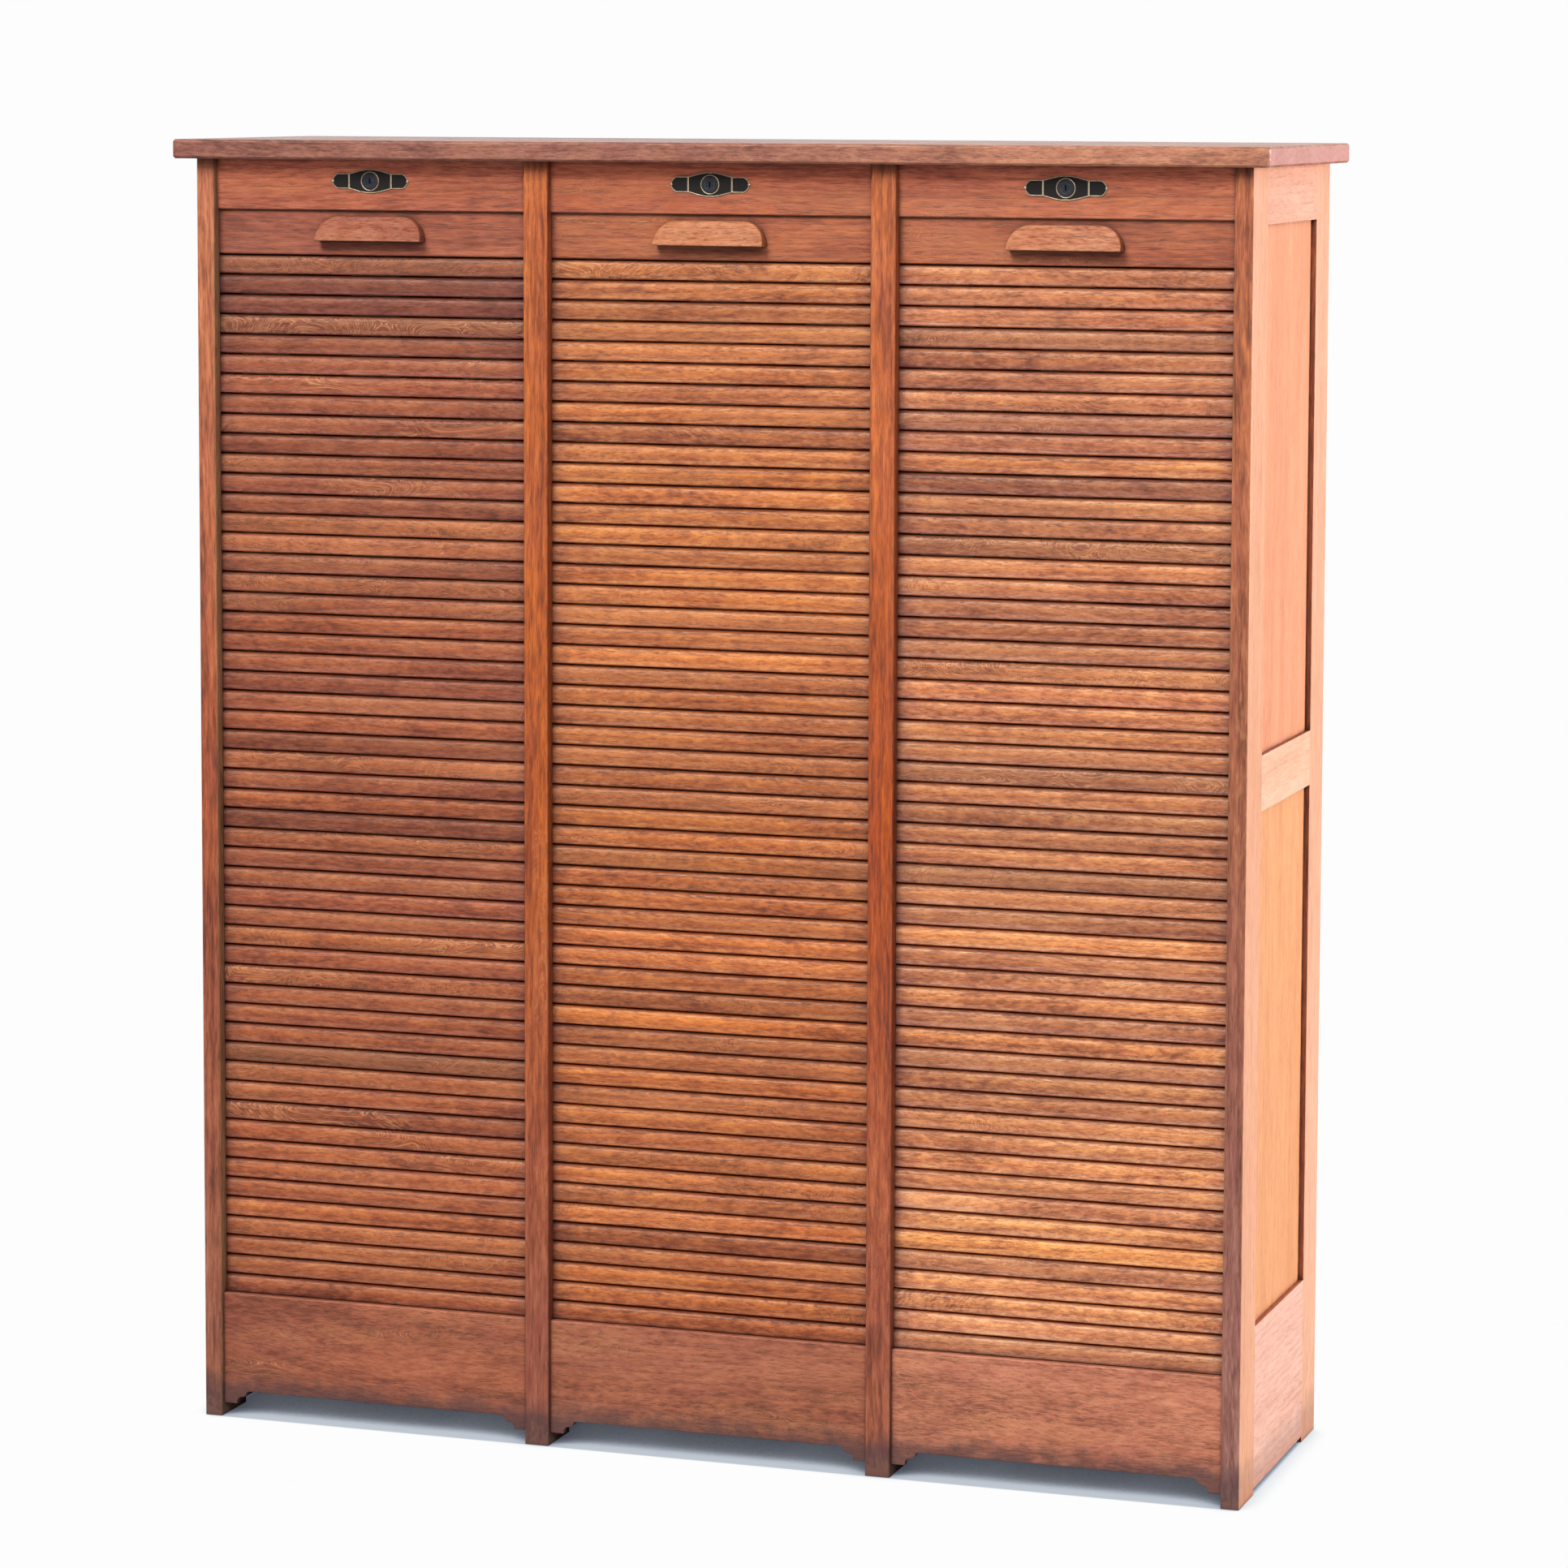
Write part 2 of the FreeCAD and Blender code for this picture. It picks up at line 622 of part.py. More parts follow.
def inside(name, centre_x):
    """The fixed floor, the shelves and their cleats, and the two backs of one bay."""
    housed = bay_width / 2 + housing_depth - housing_gap
    board_x = (centre_x - housed, centre_x + housed)
    board_y = (interior_front_y, false_back_y)
    floor_bottom = bottom_board_top - bottom_board_thickness
    export(slab(board_x, board_y, (floor_bottom, bottom_board_top)), name + "_bottom_board")

    shelf_half = bay_width / 2 - shelf_side_gap
    shelves = []
    cleats = []
    for index in range(shelf_count):
        low = bottom_board_top + (index + 1) * clear_height + index * shelf_thickness
        shelf_y = (interior_front_y + shelf_setback, false_back_y)
        shelves.append(slab((centre_x - shelf_half, centre_x + shelf_half), shelf_y,
                            (low, low + shelf_thickness)))
        cleat_y = (interior_front_y + cleat_end_gap, false_back_y - cleat_end_gap)
        for side in (-1, 1):
            wall = centre_x + side * bay_width / 2
            cleats.append(slab((wall, wall - side * cleat_width), cleat_y, (low - cleat_height, low)))
    export(Part.makeCompound(shelves), name + "_shelves")
    false_back = slab(board_x, (false_back_y, false_back_y + false_back_thickness),
                      (floor_bottom, carcass_height))
    back_panel = slab(board_x, (rear_y - back_panel_thickness, rear_y), (back_panel_bottom, carcass_height))
    return cleats, false_back, back_panel


os.makedirs("parts", exist_ok=True)
gable("left", left_x, 1)
gable("right", right_x, -1)
for wall_name, wall_centre in zip(partition_names, partition_centres):
    partition(wall_name, wall_centre)
top_board()

all_cleats = []
false_backs = []
back_panels = []
lock_cases = []
for bay_name, bay_centre in zip(bay_names, bay_centres):
    top_rail(bay_name, bay_centre)
    plinth(bay_name, bay_centre)
    lead_rail(bay_name, bay_centre)
    handle(bay_name, bay_centre)
    shutter(bay_name, bay_centre)
    escutcheon(bay_name, bay_centre)
    lock_plug(bay_name, bay_centre)
    lock_hook(bay_name, bay_centre)
    lock_cases.append(lock_case(bay_centre))
    cleats, false_back, back_panel = inside(bay_name, bay_centre)
    all_cleats += cleats
    false_backs.append(false_back)
    back_panels.append(back_panel)
export(Part.makeCompound(all_cleats), "shelf_cleats")
export(Part.makeCompound(false_backs), "false_backs")
export(Part.makeCompound(back_panels), "back_panels")
export(Part.makeCompound(lock_cases), "lock_cases")
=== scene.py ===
# %% [markdown]
# # A filing cabinet with three roller shutters, in old oak
#
# The cabinet is about 1.3 m wide and 1.56 m high. Three bays stand side by side between framed
# side panels, and each bay is closed by a shutter of 54 oak slats under a thick rail with a
# wooden pull. This lesson dresses the measured parts: it gives every board its own oak, and
# models the slats, the pulls, the lock plates and the canvas in more detail.
#
# The measured parts come first, because everything else is placed from them.

# %% Load the measured parts
import math
import random

import bmesh
import bpy
import numpy as np
from mathutils import Matrix, Vector


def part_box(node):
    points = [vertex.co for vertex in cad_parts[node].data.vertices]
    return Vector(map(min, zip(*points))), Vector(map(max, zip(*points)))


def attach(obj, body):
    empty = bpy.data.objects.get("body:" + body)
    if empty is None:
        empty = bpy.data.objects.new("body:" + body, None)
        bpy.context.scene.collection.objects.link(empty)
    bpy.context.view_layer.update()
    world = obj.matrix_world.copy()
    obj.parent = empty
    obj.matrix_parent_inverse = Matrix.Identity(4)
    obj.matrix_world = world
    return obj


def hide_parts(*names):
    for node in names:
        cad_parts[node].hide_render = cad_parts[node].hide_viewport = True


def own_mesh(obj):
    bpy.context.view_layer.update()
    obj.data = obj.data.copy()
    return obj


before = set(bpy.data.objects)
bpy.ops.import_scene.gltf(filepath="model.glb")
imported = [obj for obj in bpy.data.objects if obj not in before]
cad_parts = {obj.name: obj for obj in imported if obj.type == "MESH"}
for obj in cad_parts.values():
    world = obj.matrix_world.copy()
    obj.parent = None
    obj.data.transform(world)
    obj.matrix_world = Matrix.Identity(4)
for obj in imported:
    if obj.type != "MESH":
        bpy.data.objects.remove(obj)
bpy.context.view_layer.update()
bays = ("left", "centre", "right")
mm = 0.001

# %% [markdown]
# ## The camera
#
# The picture was taken from the right of the cabinet, a little above its top, with a long lens.
# A camera could be set by eye, but then every edge would be a little off. Here its place and
# its turn were measured from the cabinet's own edges, so they are typed as real sizes.
# The lens is worked out from the distance in pixels, and a small shift frames the picture.

# %% Place the camera
picture_width = 1932
focal_length_in_pixels = 6370
horizon_row = 695.45
turn_left = math.radians(18.68)
tilt_down = math.radians(5.36)
roll = math.radians(0.18)
camera_place = Vector((2.0116, -5.8479, 1.6334))

bpy.ops.object.camera_add(location=camera_place)
camera = bpy.context.object
camera.name = "camera"
camera.data.sensor_width = 36
camera.data.lens = focal_length_in_pixels * camera.data.sensor_width / picture_width
camera.data.shift_y = horizon_row / picture_width - 0.5
ahead = Vector((-math.sin(turn_left) * math.cos(tilt_down),
                math.cos(turn_left) * math.cos(tilt_down), -math.sin(tilt_down)))
right = ahead.cross(Vector((0, 0, 1))).normalized()
up = right.cross(ahead)
rolled_right = right * math.cos(roll) + up * math.sin(roll)
rolled_up = up * math.cos(roll) - right * math.sin(roll)
camera.rotation_euler = Matrix((rolled_right, rolled_up, -ahead)).transposed().to_euler()
bpy.context.scene.camera = camera
print("lens", round(camera.data.lens, 2), "mm, shift", round(camera.data.shift_y, 4))

# %% [markdown]
# ## Small helpers for materials
#
# A material is a tree of nodes. Written out in full, each node takes four or five lines, and the
# idea gets lost. These helpers add one node with its inputs in one call, where an input is
# either a plain value or the output of another node.

# %% Helpers that add nodes
def connect(tree, node, inputs):
    """Gives a node its inputs, which are plain values or other nodes' outputs."""
    for name, value in inputs.items():
        if isinstance(value, bpy.types.NodeSocket):
            tree.links.new(value, node.inputs[name])
        else:
            node.inputs[name].default_value = value
    return node


def add(tree, kind, inputs=None, **settings):
    """One shader node, with its settings and inputs."""
    made = tree.nodes.new("ShaderNode" + kind)
    for name, value in settings.items():
        setattr(made, name, value)
    return connect(tree, made, inputs or {})


def maths(tree, operation, *values):
    """A Math node's result."""
    return add(tree, "Math", dict(enumerate(values)), operation=operation).outputs[0]


def vectors(tree, operation, *values):
    """A Vector Math node's result."""
    return add(tree, "VectorMath", dict(enumerate(values)), operation=operation).outputs[0]


def mix(tree, factor, low, high, blend="MIX"):
    """A colour between two colours, or one laid over the other."""
    inputs = {0: factor, 6: low, 7: high}
    return add(tree, "Mix", inputs, data_type="RGBA", blend_type=blend).outputs[2]


def remap(tree, value, low, high, new_low=0.0, new_high=1.0):
    """A value moved from one range to another, softly and without leaving it."""
    inputs = {0: value, 1: low, 2: high, 3: new_low, 4: new_high}
    return add(tree, "MapRange", inputs, interpolation_type="SMOOTHSTEP").outputs[0]


def colour_ramp(tree, value, stops):
    """A colour read off a scale of (position, colour) stops."""
    ramp = add(tree, "ValToRGB", {"Fac": value})
    marks = ramp.color_ramp.elements
    for index, (position, colour) in enumerate(stops):
        mark = marks[0] if index == 0 else marks[-1] if index == len(stops) - 1 else None
        if mark is None:
            mark = marks.new(position)
        mark.position = position
        mark.color = (*colour, 1)
    return ramp.outputs["Color"]


def stretch(tree, place, scale, turn=(0, 0, 0)):
    """Coordinates scaled along each axis, so that a pattern comes out long one way."""
    return add(tree, "Mapping", {"Vector": place, "Scale": scale, "Rotation": turn}).outputs[0]


def noise(tree, place, scale, detail=2.0, roughness=0.5, output="Fac"):
    """A Noise texture. scale says how many marks lie in a metre along each axis."""
    inputs = {"Vector": stretch(tree, place, scale), "Scale": 1.0, "Detail": detail,
              "Roughness": roughness}
    return add(tree, "TexNoise", inputs).outputs[output]


def along(tree, place, axis):
    """The coordinate along X, Y or Z."""
    return add(tree, "SeparateXYZ", {0: place}).outputs[axis]


def new_group(name, inputs, outputs):
    """A node group with its sockets: returns its tree, its inputs and its output node."""
    tree = bpy.data.node_groups.new(name, "ShaderNodeTree")
    for label, kind, value in inputs:
        socket = tree.interface.new_socket(label, in_out="INPUT", socket_type="NodeSocket" + kind)
        if value is not None:
            socket.default_value = value
    for label, kind in outputs:
        tree.interface.new_socket(label, in_out="OUTPUT", socket_type="NodeSocket" + kind)
    given = tree.nodes.new("NodeGroupInput")
    return tree, given.outputs, tree.nodes.new("NodeGroupOutput")


def use_group(tree, group, inputs):
    """One placed copy of a node group; returns its outputs."""
    return add(tree, "Group", inputs, node_tree=group).outputs


def new_material(name):
    """An empty material with one Principled shader; returns it, its tree and the shader."""
    material = bpy.data.materials.new(name)
    material.use_nodes = True
    return material, material.node_tree, material.node_tree.nodes["Principled BSDF"]


print("helpers ready")

# %% [markdown]
# ## The studio
#
# The cabinet stands on a white floor in front of a white wall. Turning the lamps up until the
# floor burns white would burn the wood too. So the floor shows its own pale colour to the camera,
# less a painted shadow under the cabinet, while it lights the wood like plain grey paper. The room
# in front is dim in reflections, and the wall behind is white, so the polished top shines.
#
# One large lamp hangs high in front and a little to the left, so that each slat is bright above
# and dark below. A second from the upper right makes the light grow towards the right. The third
# stands far to the right and a little behind, and lights only the right side. The fourth lights
# the back, and is hidden in reflections: its mirror image would burn white on the top board.

# %% Floor, world and lamps
bpy.context.scene.view_settings.view_transform = "Standard"
paper_white = (0.982, 0.982, 0.982, 1)
paper_grey = (0.34, 0.34, 0.36, 1)
contact_shade = (0.62, 0.66, 0.72, 1)
room_light = (0.94, 0.97, 1.0, 1)
dim_room = (0.20, 0.20, 0.21, 1)
shadow_stops = ((0.00, (0.055, 0.060, 0.072)), (0.12, (0.098, 0.106, 0.128)),
                (0.21, (0.250, 0.275, 0.325)), (0.33, (0.520, 0.565, 0.630)))
ambient = 0.14
shadow_reach = 0.30
contact_reach = 0.05
floor_width = 600
floor_drop = 0.1 * mm
# Across these lines the painted shadow under the cabinet comes in: at its front, and at its other
# sides.
front_blur = (-5 * mm, 1 * mm)
side_blur = (2 * mm, -4 * mm)

bpy.ops.mesh.primitive_plane_add(size=floor_width, location=(0, 0, -floor_drop))
floor = bpy.context.object
floor.name = "studio_floor"


def under_cabinet(tree):
    """1 on the floor that the cabinet covers, from the front line of its posts to its back."""
    place = add(tree, "TexCoord").outputs["Object"]
    depth = along(tree, place, "Y")
    across = maths(tree, "ABSOLUTE", along(tree, place, "X"))
    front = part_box("left_partition_post")[0].y
    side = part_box("right_gable_front_stile")[1].x
    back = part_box("right_gable_rear_stile")[1].y
    inside = maths(tree, "MULTIPLY", remap(tree, depth, *(front + step for step in front_blur)),
                   remap(tree, depth, *(back + step for step in side_blur)))
    return maths(tree, "MULTIPLY", inside,
                 remap(tree, across, *(side + step for step in side_blur)))


def dress_floor():
    """Pale paper with a painted shadow under the cabinet and a painted contact shade at its foot,
    which shows white to the camera.
    """
    material, tree, shader = new_material("studio_paper")
    tree.nodes.remove(shader)
    near = add(tree, "AmbientOcclusion", {"Distance": shadow_reach}, samples=16).outputs["AO"]
    shade = colour_ramp(tree, near, shadow_stops)
    glow = mix(tree, under_cabinet(tree), paper_white, shade)
    touching = add(tree, "AmbientOcclusion", {"Distance": contact_reach}, samples=8).outputs["AO"]
    glow = mix(tree, remap(tree, touching, 0.75, 0.35), glow, contact_shade, "MULTIPLY")
    shown = add(tree, "Emission", {"Color": glow, "Strength": 1.0}).outputs[0]
    plain = add(tree, "BsdfDiffuse", {"Color": paper_grey}).outputs[0]
    camera_ray = add(tree, "LightPath").outputs["Is Camera Ray"]
    both = add(tree, "MixShader", {0: camera_ray, 1: plain, 2: shown}).outputs[0]
    connect(tree, tree.nodes["Material Output"], {"Surface": both})
    floor.data.materials.append(material)


def dress_world():
    """White to the camera, white behind and dim in front in reflections, and dim on the wood."""
    world = bpy.data.worlds.new("studio_light")
    world.use_nodes = True
    tree = world.node_tree
    lighting = connect(tree, tree.nodes["Background"], {"Color": room_light, "Strength": ambient})
    backdrop = add(tree, "Background", {"Color": paper_white, "Strength": 1.0}).outputs[0]
    behind = along(tree, add(tree, "TexCoord").outputs["Generated"], "Y")
    room = mix(tree, remap(tree, behind, -0.1, 0.3), dim_room, paper_white)
    room = add(tree, "Background", {"Color": room, "Strength": 1.0}).outputs[0]
    rays = add(tree, "LightPath").outputs
    mirror = maths(tree, "MAXIMUM", rays["Is Glossy Ray"], rays["Is Transmission Ray"])
    seen = add(tree, "MixShader", {0: mirror, 1: lighting.outputs[0], 2: room}).outputs[0]
    both = add(tree, "MixShader", {0: rays["Is Camera Ray"], 1: seen, 2: backdrop}).outputs[0]
    connect(tree, tree.nodes["World Output"], {"Surface": both})
    bpy.context.scene.world = world


def soft_lamp(name, place, aim, size, power, colour):
    """A square lamp that faces a point."""
    bpy.ops.object.light_add(type="AREA", location=place)
    lamp = bpy.context.object
    lamp.name = name
    lamp.data.size = size
    lamp.data.energy = power
    lamp.data.color = colour
    lamp.visible_camera = False
    lamp.rotation_euler = (Vector(aim) - Vector(place)).to_track_quat("-Z", "Y").to_euler()
    return lamp


dress_floor()
dress_world()
# Each lamp has its place, the point it faces, its size in metres, its watts and its colour.
soft_lamp("lamp_above", (-1.4, -7.2, 7.6), (0, 0, 0.8), 4.0, 1075, (1.0, 0.985, 0.96))
soft_lamp("lamp_right", (2.6, -4.8, 3.6), (0.3, 0, 0.7), 1.8, 120, (1.0, 0.97, 0.93))
soft_lamp("lamp_side", (3.6, 1.3, 1.2), (0.65, 0, 0.7), 1.2, 150, (1.0, 0.95, 0.93))
lamp_behind = soft_lamp("lamp_behind", (-1.8, 3.6, 2.8), (0, 0, 0.8), 1.8, 60, (1.0, 0.98, 0.96))
lamp_behind.visible_glossy = False

# %% [markdown]
# ## What oak looks like
#
# Oak has four marks that the eye looks for. Growth rings run along the board as broad bands.
# Open pores are short dark dashes along the grain. Rays, the flecks across the grain, shine on
# boards that were cut towards the heart. And an old finish is patchy, with fine dark streaks
# and glints.
#
# A picture of wood could be wrapped round each board, but it would repeat and end badly at the
# corners. This group makes the wood as a solid block instead. Its grain runs along X, and every
# pattern is a noise that is stretched along X, so end grain and long grain come out by
# themselves. Each board uses its own place in the block.

# %% The oak block
def make_oak_block():
    """Masks of a solid oak block whose grain runs along X, measured in metres."""
    inputs = [("Place", "Vector", None), ("Flecks", "Float", 0.3)]
    outputs = [(name, "Float") for name in ("Figure", "Streaks", "Glints", "Pores", "Rays",
                                          "Between", "Patches")]
    tree, given, end = new_group("oak_block", inputs, outputs)

    def drift(scale, reach):
        """A slow wander across the grain, of so many metres."""
        cloud = noise(tree, given["Place"], scale, 1.0, output="Color")
        return vectors(tree, "MULTIPLY", vectors(tree, "SUBTRACT", cloud, (0.5, 0.5, 0.5)),
                       (0.0, reach, reach))

    wandering = vectors(tree, "ADD", drift((1.6, 11, 11), 0.050), drift((9, 70, 70), 0.005))
    grown = vectors(tree, "ADD", given["Place"], wandering)

    heart = stretch(tree, grown, (0.10, 1, 1), (0, 0.05, 0.04))
    rings = add(tree, "TexWave", {"Vector": heart, "Scale": 34.0, "Distortion": 0.0},
                wave_type="RINGS", rings_direction="X", wave_profile="SAW").outputs["Fac"]
    figure = maths(tree, "MULTIPLY", rings, 0.12)
    for scale, detail, roughness, share in (((3.2, 18, 18), 4.0, 0.60, 0.34),
                                            ((24, 66, 66), 3.0, 0.60, 0.22),
                                            ((75, 290, 290), 2.0, 0.55, 0.32)):
        bands = remap(tree, noise(tree, grown, scale, detail, roughness), 0.30, 0.70)
        figure = maths(tree, "MULTIPLY_ADD", bands, share, figure)
    streaks = remap(tree, noise(tree, grown, (120, 480, 480), 2.0, 0.55), 0.50, 0.70)

    # Glints and rays lean across the grain, and their lean changes along the board.
    lean = noise(tree, given["Place"], (6, 14, 14), 1.0)
    lean = maths(tree, "MULTIPLY", maths(tree, "SUBTRACT", lean, 0.5), 4.0)
    axes = add(tree, "SeparateXYZ", {0: given["Place"]}).outputs
    shift = maths(tree, "MULTIPLY", maths(tree, "ADD", axes["Y"], axes["Z"]), lean)
    leaning = add(tree, "CombineXYZ", {0: maths(tree, "ADD", axes["X"], shift),
                                       1: axes["Y"], 2: axes["Z"]}).outputs[0]
    glints = remap(tree, noise(tree, leaning, (150, 620, 620), 2.0, 0.55), 0.50, 0.66)

    # Pores are open in the early part of a ring, and closed in the late part.
    dashes = noise(tree, grown, (110, 900, 900), 2.0, 0.55)
    early = remap(tree, rings, 0.15, 0.75, 0.50, 0.58)
    pores = remap(tree, maths(tree, "SUBTRACT", dashes, early), 0.0, 0.09)

    flecks = noise(tree, leaning, (260, 150, 150))
    where = noise(tree, given["Place"], (4, 22, 22))
    limit = maths(tree, "SUBTRACT", 0.80, maths(tree, "MULTIPLY", given["Flecks"], 0.5))
    where = remap(tree, maths(tree, "SUBTRACT", where, limit), -0.10, 0.08)
    between = maths(tree, "MULTIPLY", remap(tree, flecks, 0.50, 0.38), where)
    rays = maths(tree, "MULTIPLY", remap(tree, flecks, 0.50, 0.64), where)

    patches = remap(tree, noise(tree, given["Place"], (20, 46, 46), 4.0, 0.62), 0.40, 0.66)
    connect(tree, end, {"Figure": figure, "Streaks": streaks, "Glints": glints, "Pores": pores,
                        "Rays": rays, "Between": between, "Patches": patches})
    return tree


oak_block = make_oak_block()
print("oak block:", len(oak_block.nodes), "nodes")

# %% [markdown]
# ## Wear, dirt and painted shade
#
# A hundred years of hands and cloths leave two marks. The arrises are rubbed light, and dirt
# gathers in the corners and near the floor. Shade is painted in too: painted shade darkens the
# corners together with the dirt, and darkens the wider nooks by itself. All these could be painted
# by hand, but a mask finds the same places by itself. A Bevel node turns the surface at an edge,
# so where its answer differs from the true surface there is an edge. Ambient occlusion is dark
# where something is near.

# %% Groups for worn edges, for dirt and for painted shade
arris_radius = 1.4 * mm
corner_reach = 9 * mm
nook_reach = 34 * mm


def make_worn_edges():
    """A mask of rubbed arrises, broken up by noise, and a normal that rounds them."""
    inputs = [("Place", "Vector", None)]
    outputs = [("Wear", "Float"), ("Normal", "Vector")]
    tree, given, end = new_group("worn_edges", inputs, outputs)
    rounded = add(tree, "Bevel", {"Radius": arris_radius}, samples=4).outputs[0]
    true = add(tree, "NewGeometry").outputs["Normal"]
    likeness = add(tree, "VectorMath", {0: rounded, 1: true}, operation="DOT_PRODUCT")
    edge = remap(tree, likeness.outputs["Value"], 0.995, 0.86)
    chips = remap(tree, noise(tree, given["Place"], (60, 60, 60), 4.0, 0.7), 0.36, 0.62)
    connect(tree, end, {"Wear": maths(tree, "MULTIPLY", edge, chips), "Normal": rounded})
    return tree


def openness(tree, distance):
    """1 where nothing is within a distance of the surface, and less in corners."""
    return add(tree, "AmbientOcclusion", {"Distance": distance}, samples=6).outputs["AO"]


def make_shade_and_grime():
    """Masks of painted shade and soil in corners, of painted shade in wider nooks, of soil from the
    mop and of scuffed feet.
    """
    inputs = [("Place", "Vector", None)]
    outputs = [("CornerShadeAndDirt", "Float"), ("Feet", "Float"), ("Scuffs", "Float"),
               ("NookShade", "Float")]
    tree, given, end = new_group("shade_and_grime", inputs, outputs)
    cloud = noise(tree, given["Place"], (34, 34, 34), 4.0, 0.65)
    # Corners: painted shade and dirt together, where something is near.
    corners = maths(tree, "MULTIPLY", remap(tree, openness(tree, corner_reach), 0.84, 0.36),
                    remap(tree, cloud, 0.2, 0.6))
    # Nooks: painted shade in the wider nooks, under the pulls and the overhang and beside the
    # posts.
    nooks = remap(tree, openness(tree, nook_reach), 0.95, 0.40)
    height = along(tree, given["Place"], "Z")
    ragged = maths(tree, "MULTIPLY_ADD", cloud, -0.05, height)
    chips = noise(tree, given["Place"], (110, 110, 60), 4.0, 0.7)
    kicked = maths(tree, "MULTIPLY_ADD", chips, -0.11, height)
    connect(tree, end, {"CornerShadeAndDirt": corners, "NookShade": nooks,
                        "Feet": remap(tree, ragged, 0.038, 0.002),
                        "Scuffs": remap(tree, kicked, -0.030, -0.044)})
    return tree


worn_edges = make_worn_edges()
shade_and_grime = make_shade_and_grime()
print("wear and dirt ready")

# %% [markdown]
# ## One oak finish for every board
#
# All the boards share the same oak, but each has its own stain, its own piece of the block and
# its own share of flecks. So the finish is a function, and each board calls it with its colours.
# The colours go from the dark rings through the stain to the light wood between the rings.
#
# The outsides of the gables are a pale salmon, while their front edges kept the stain. The pale
# tone is partly wood faded in years of daylight and partly painted light for the strong light on
# the sides. That colour is mixed in by how far out the surface lies.

# %% The oak finish
oak_tones = {
    "slat": ((0.160, 0.038, 0.014), (0.360, 0.112, 0.039), (0.520, 0.200, 0.070)),
    "rail": ((0.250, 0.062, 0.026), (0.460, 0.140, 0.058), (0.600, 0.215, 0.088)),
    "post": ((0.180, 0.034, 0.008), (0.445, 0.105, 0.023), (0.640, 0.190, 0.044)),
    "stile": ((0.130, 0.034, 0.015), (0.390, 0.118, 0.048), (0.590, 0.210, 0.088)),
    "top": ((0.150, 0.048, 0.030), (0.370, 0.142, 0.086), (0.530, 0.235, 0.145)),
    "plinth": ((0.190, 0.054, 0.022), (0.395, 0.124, 0.054), (0.530, 0.194, 0.088)),
    "pull": ((0.280, 0.074, 0.028), (0.430, 0.138, 0.052), (0.520, 0.190, 0.074)),
    "inside": ((0.240, 0.118, 0.052), (0.400, 0.222, 0.108), (0.520, 0.318, 0.168)),
    "back": ((0.110, 0.062, 0.034), (0.250, 0.145, 0.080), (0.350, 0.215, 0.125)),
}
# Pale tones of the outsides: partly faded wood, partly painted light for the strong light on the
# sides.
faded_and_lit_tones = ((0.570, 0.228, 0.106), (0.670, 0.297, 0.148), (0.750, 0.358, 0.194))
grain_turns = {"X": (0, 0, 0), "Y": (0, 0, -math.pi / 2), "Z": (0, math.pi / 2, 0)}
purple_stain = (0.72, 0.56, 0.66, 1)
worn_wood = (0.640, 0.330, 0.170, 1)
ray_wood = (0.640, 0.290, 0.120, 1)
pore_colour = (0.060, 0.018, 0.010, 1)
# The colour of the corners: painted shade and dirt together.
corner_shade_and_dirt = (0.056, 0.020, 0.013, 1)
floor_dirt = (0.070, 0.034, 0.036, 1)
streak_shade = (0.50, 0.38, 0.34, 1)
glint_shade = (1.34, 1.46, 1.20, 1)
between_shade = (0.52, 0.38, 0.32, 1)
# Tints of the painted shade in nooks. On the pale outside the tint is orange: painted light thrown
# back by the wood beside it, and wood that faded less there.
nook_shade = (0.46, 0.33, 0.38, 1)
pale_nook_tint = (0.98, 0.66, 0.46, 1)
pale_depth = 0.8 * mm
bare_depth = 0.4 * mm
pore_depth = 0.5 * mm


def tone_ramp(tree, figure, tones):
    """Three colours of wood from dark rings to light wood."""
    return colour_ramp(tree, figure, list(zip((0.10, 0.48, 0.90), tones)))


def along_board(tree, room, axis, ends, tints):
    """A tint that changes from the low end of a board through its middle to its high end."""
    share = add(tree, "MapRange", {0: along(tree, room, axis), 1: ends[0], 2: ends[1]}).outputs[0]
    return colour_ramp(tree, share, list(zip((0.06, 0.5, 0.94), tints)))


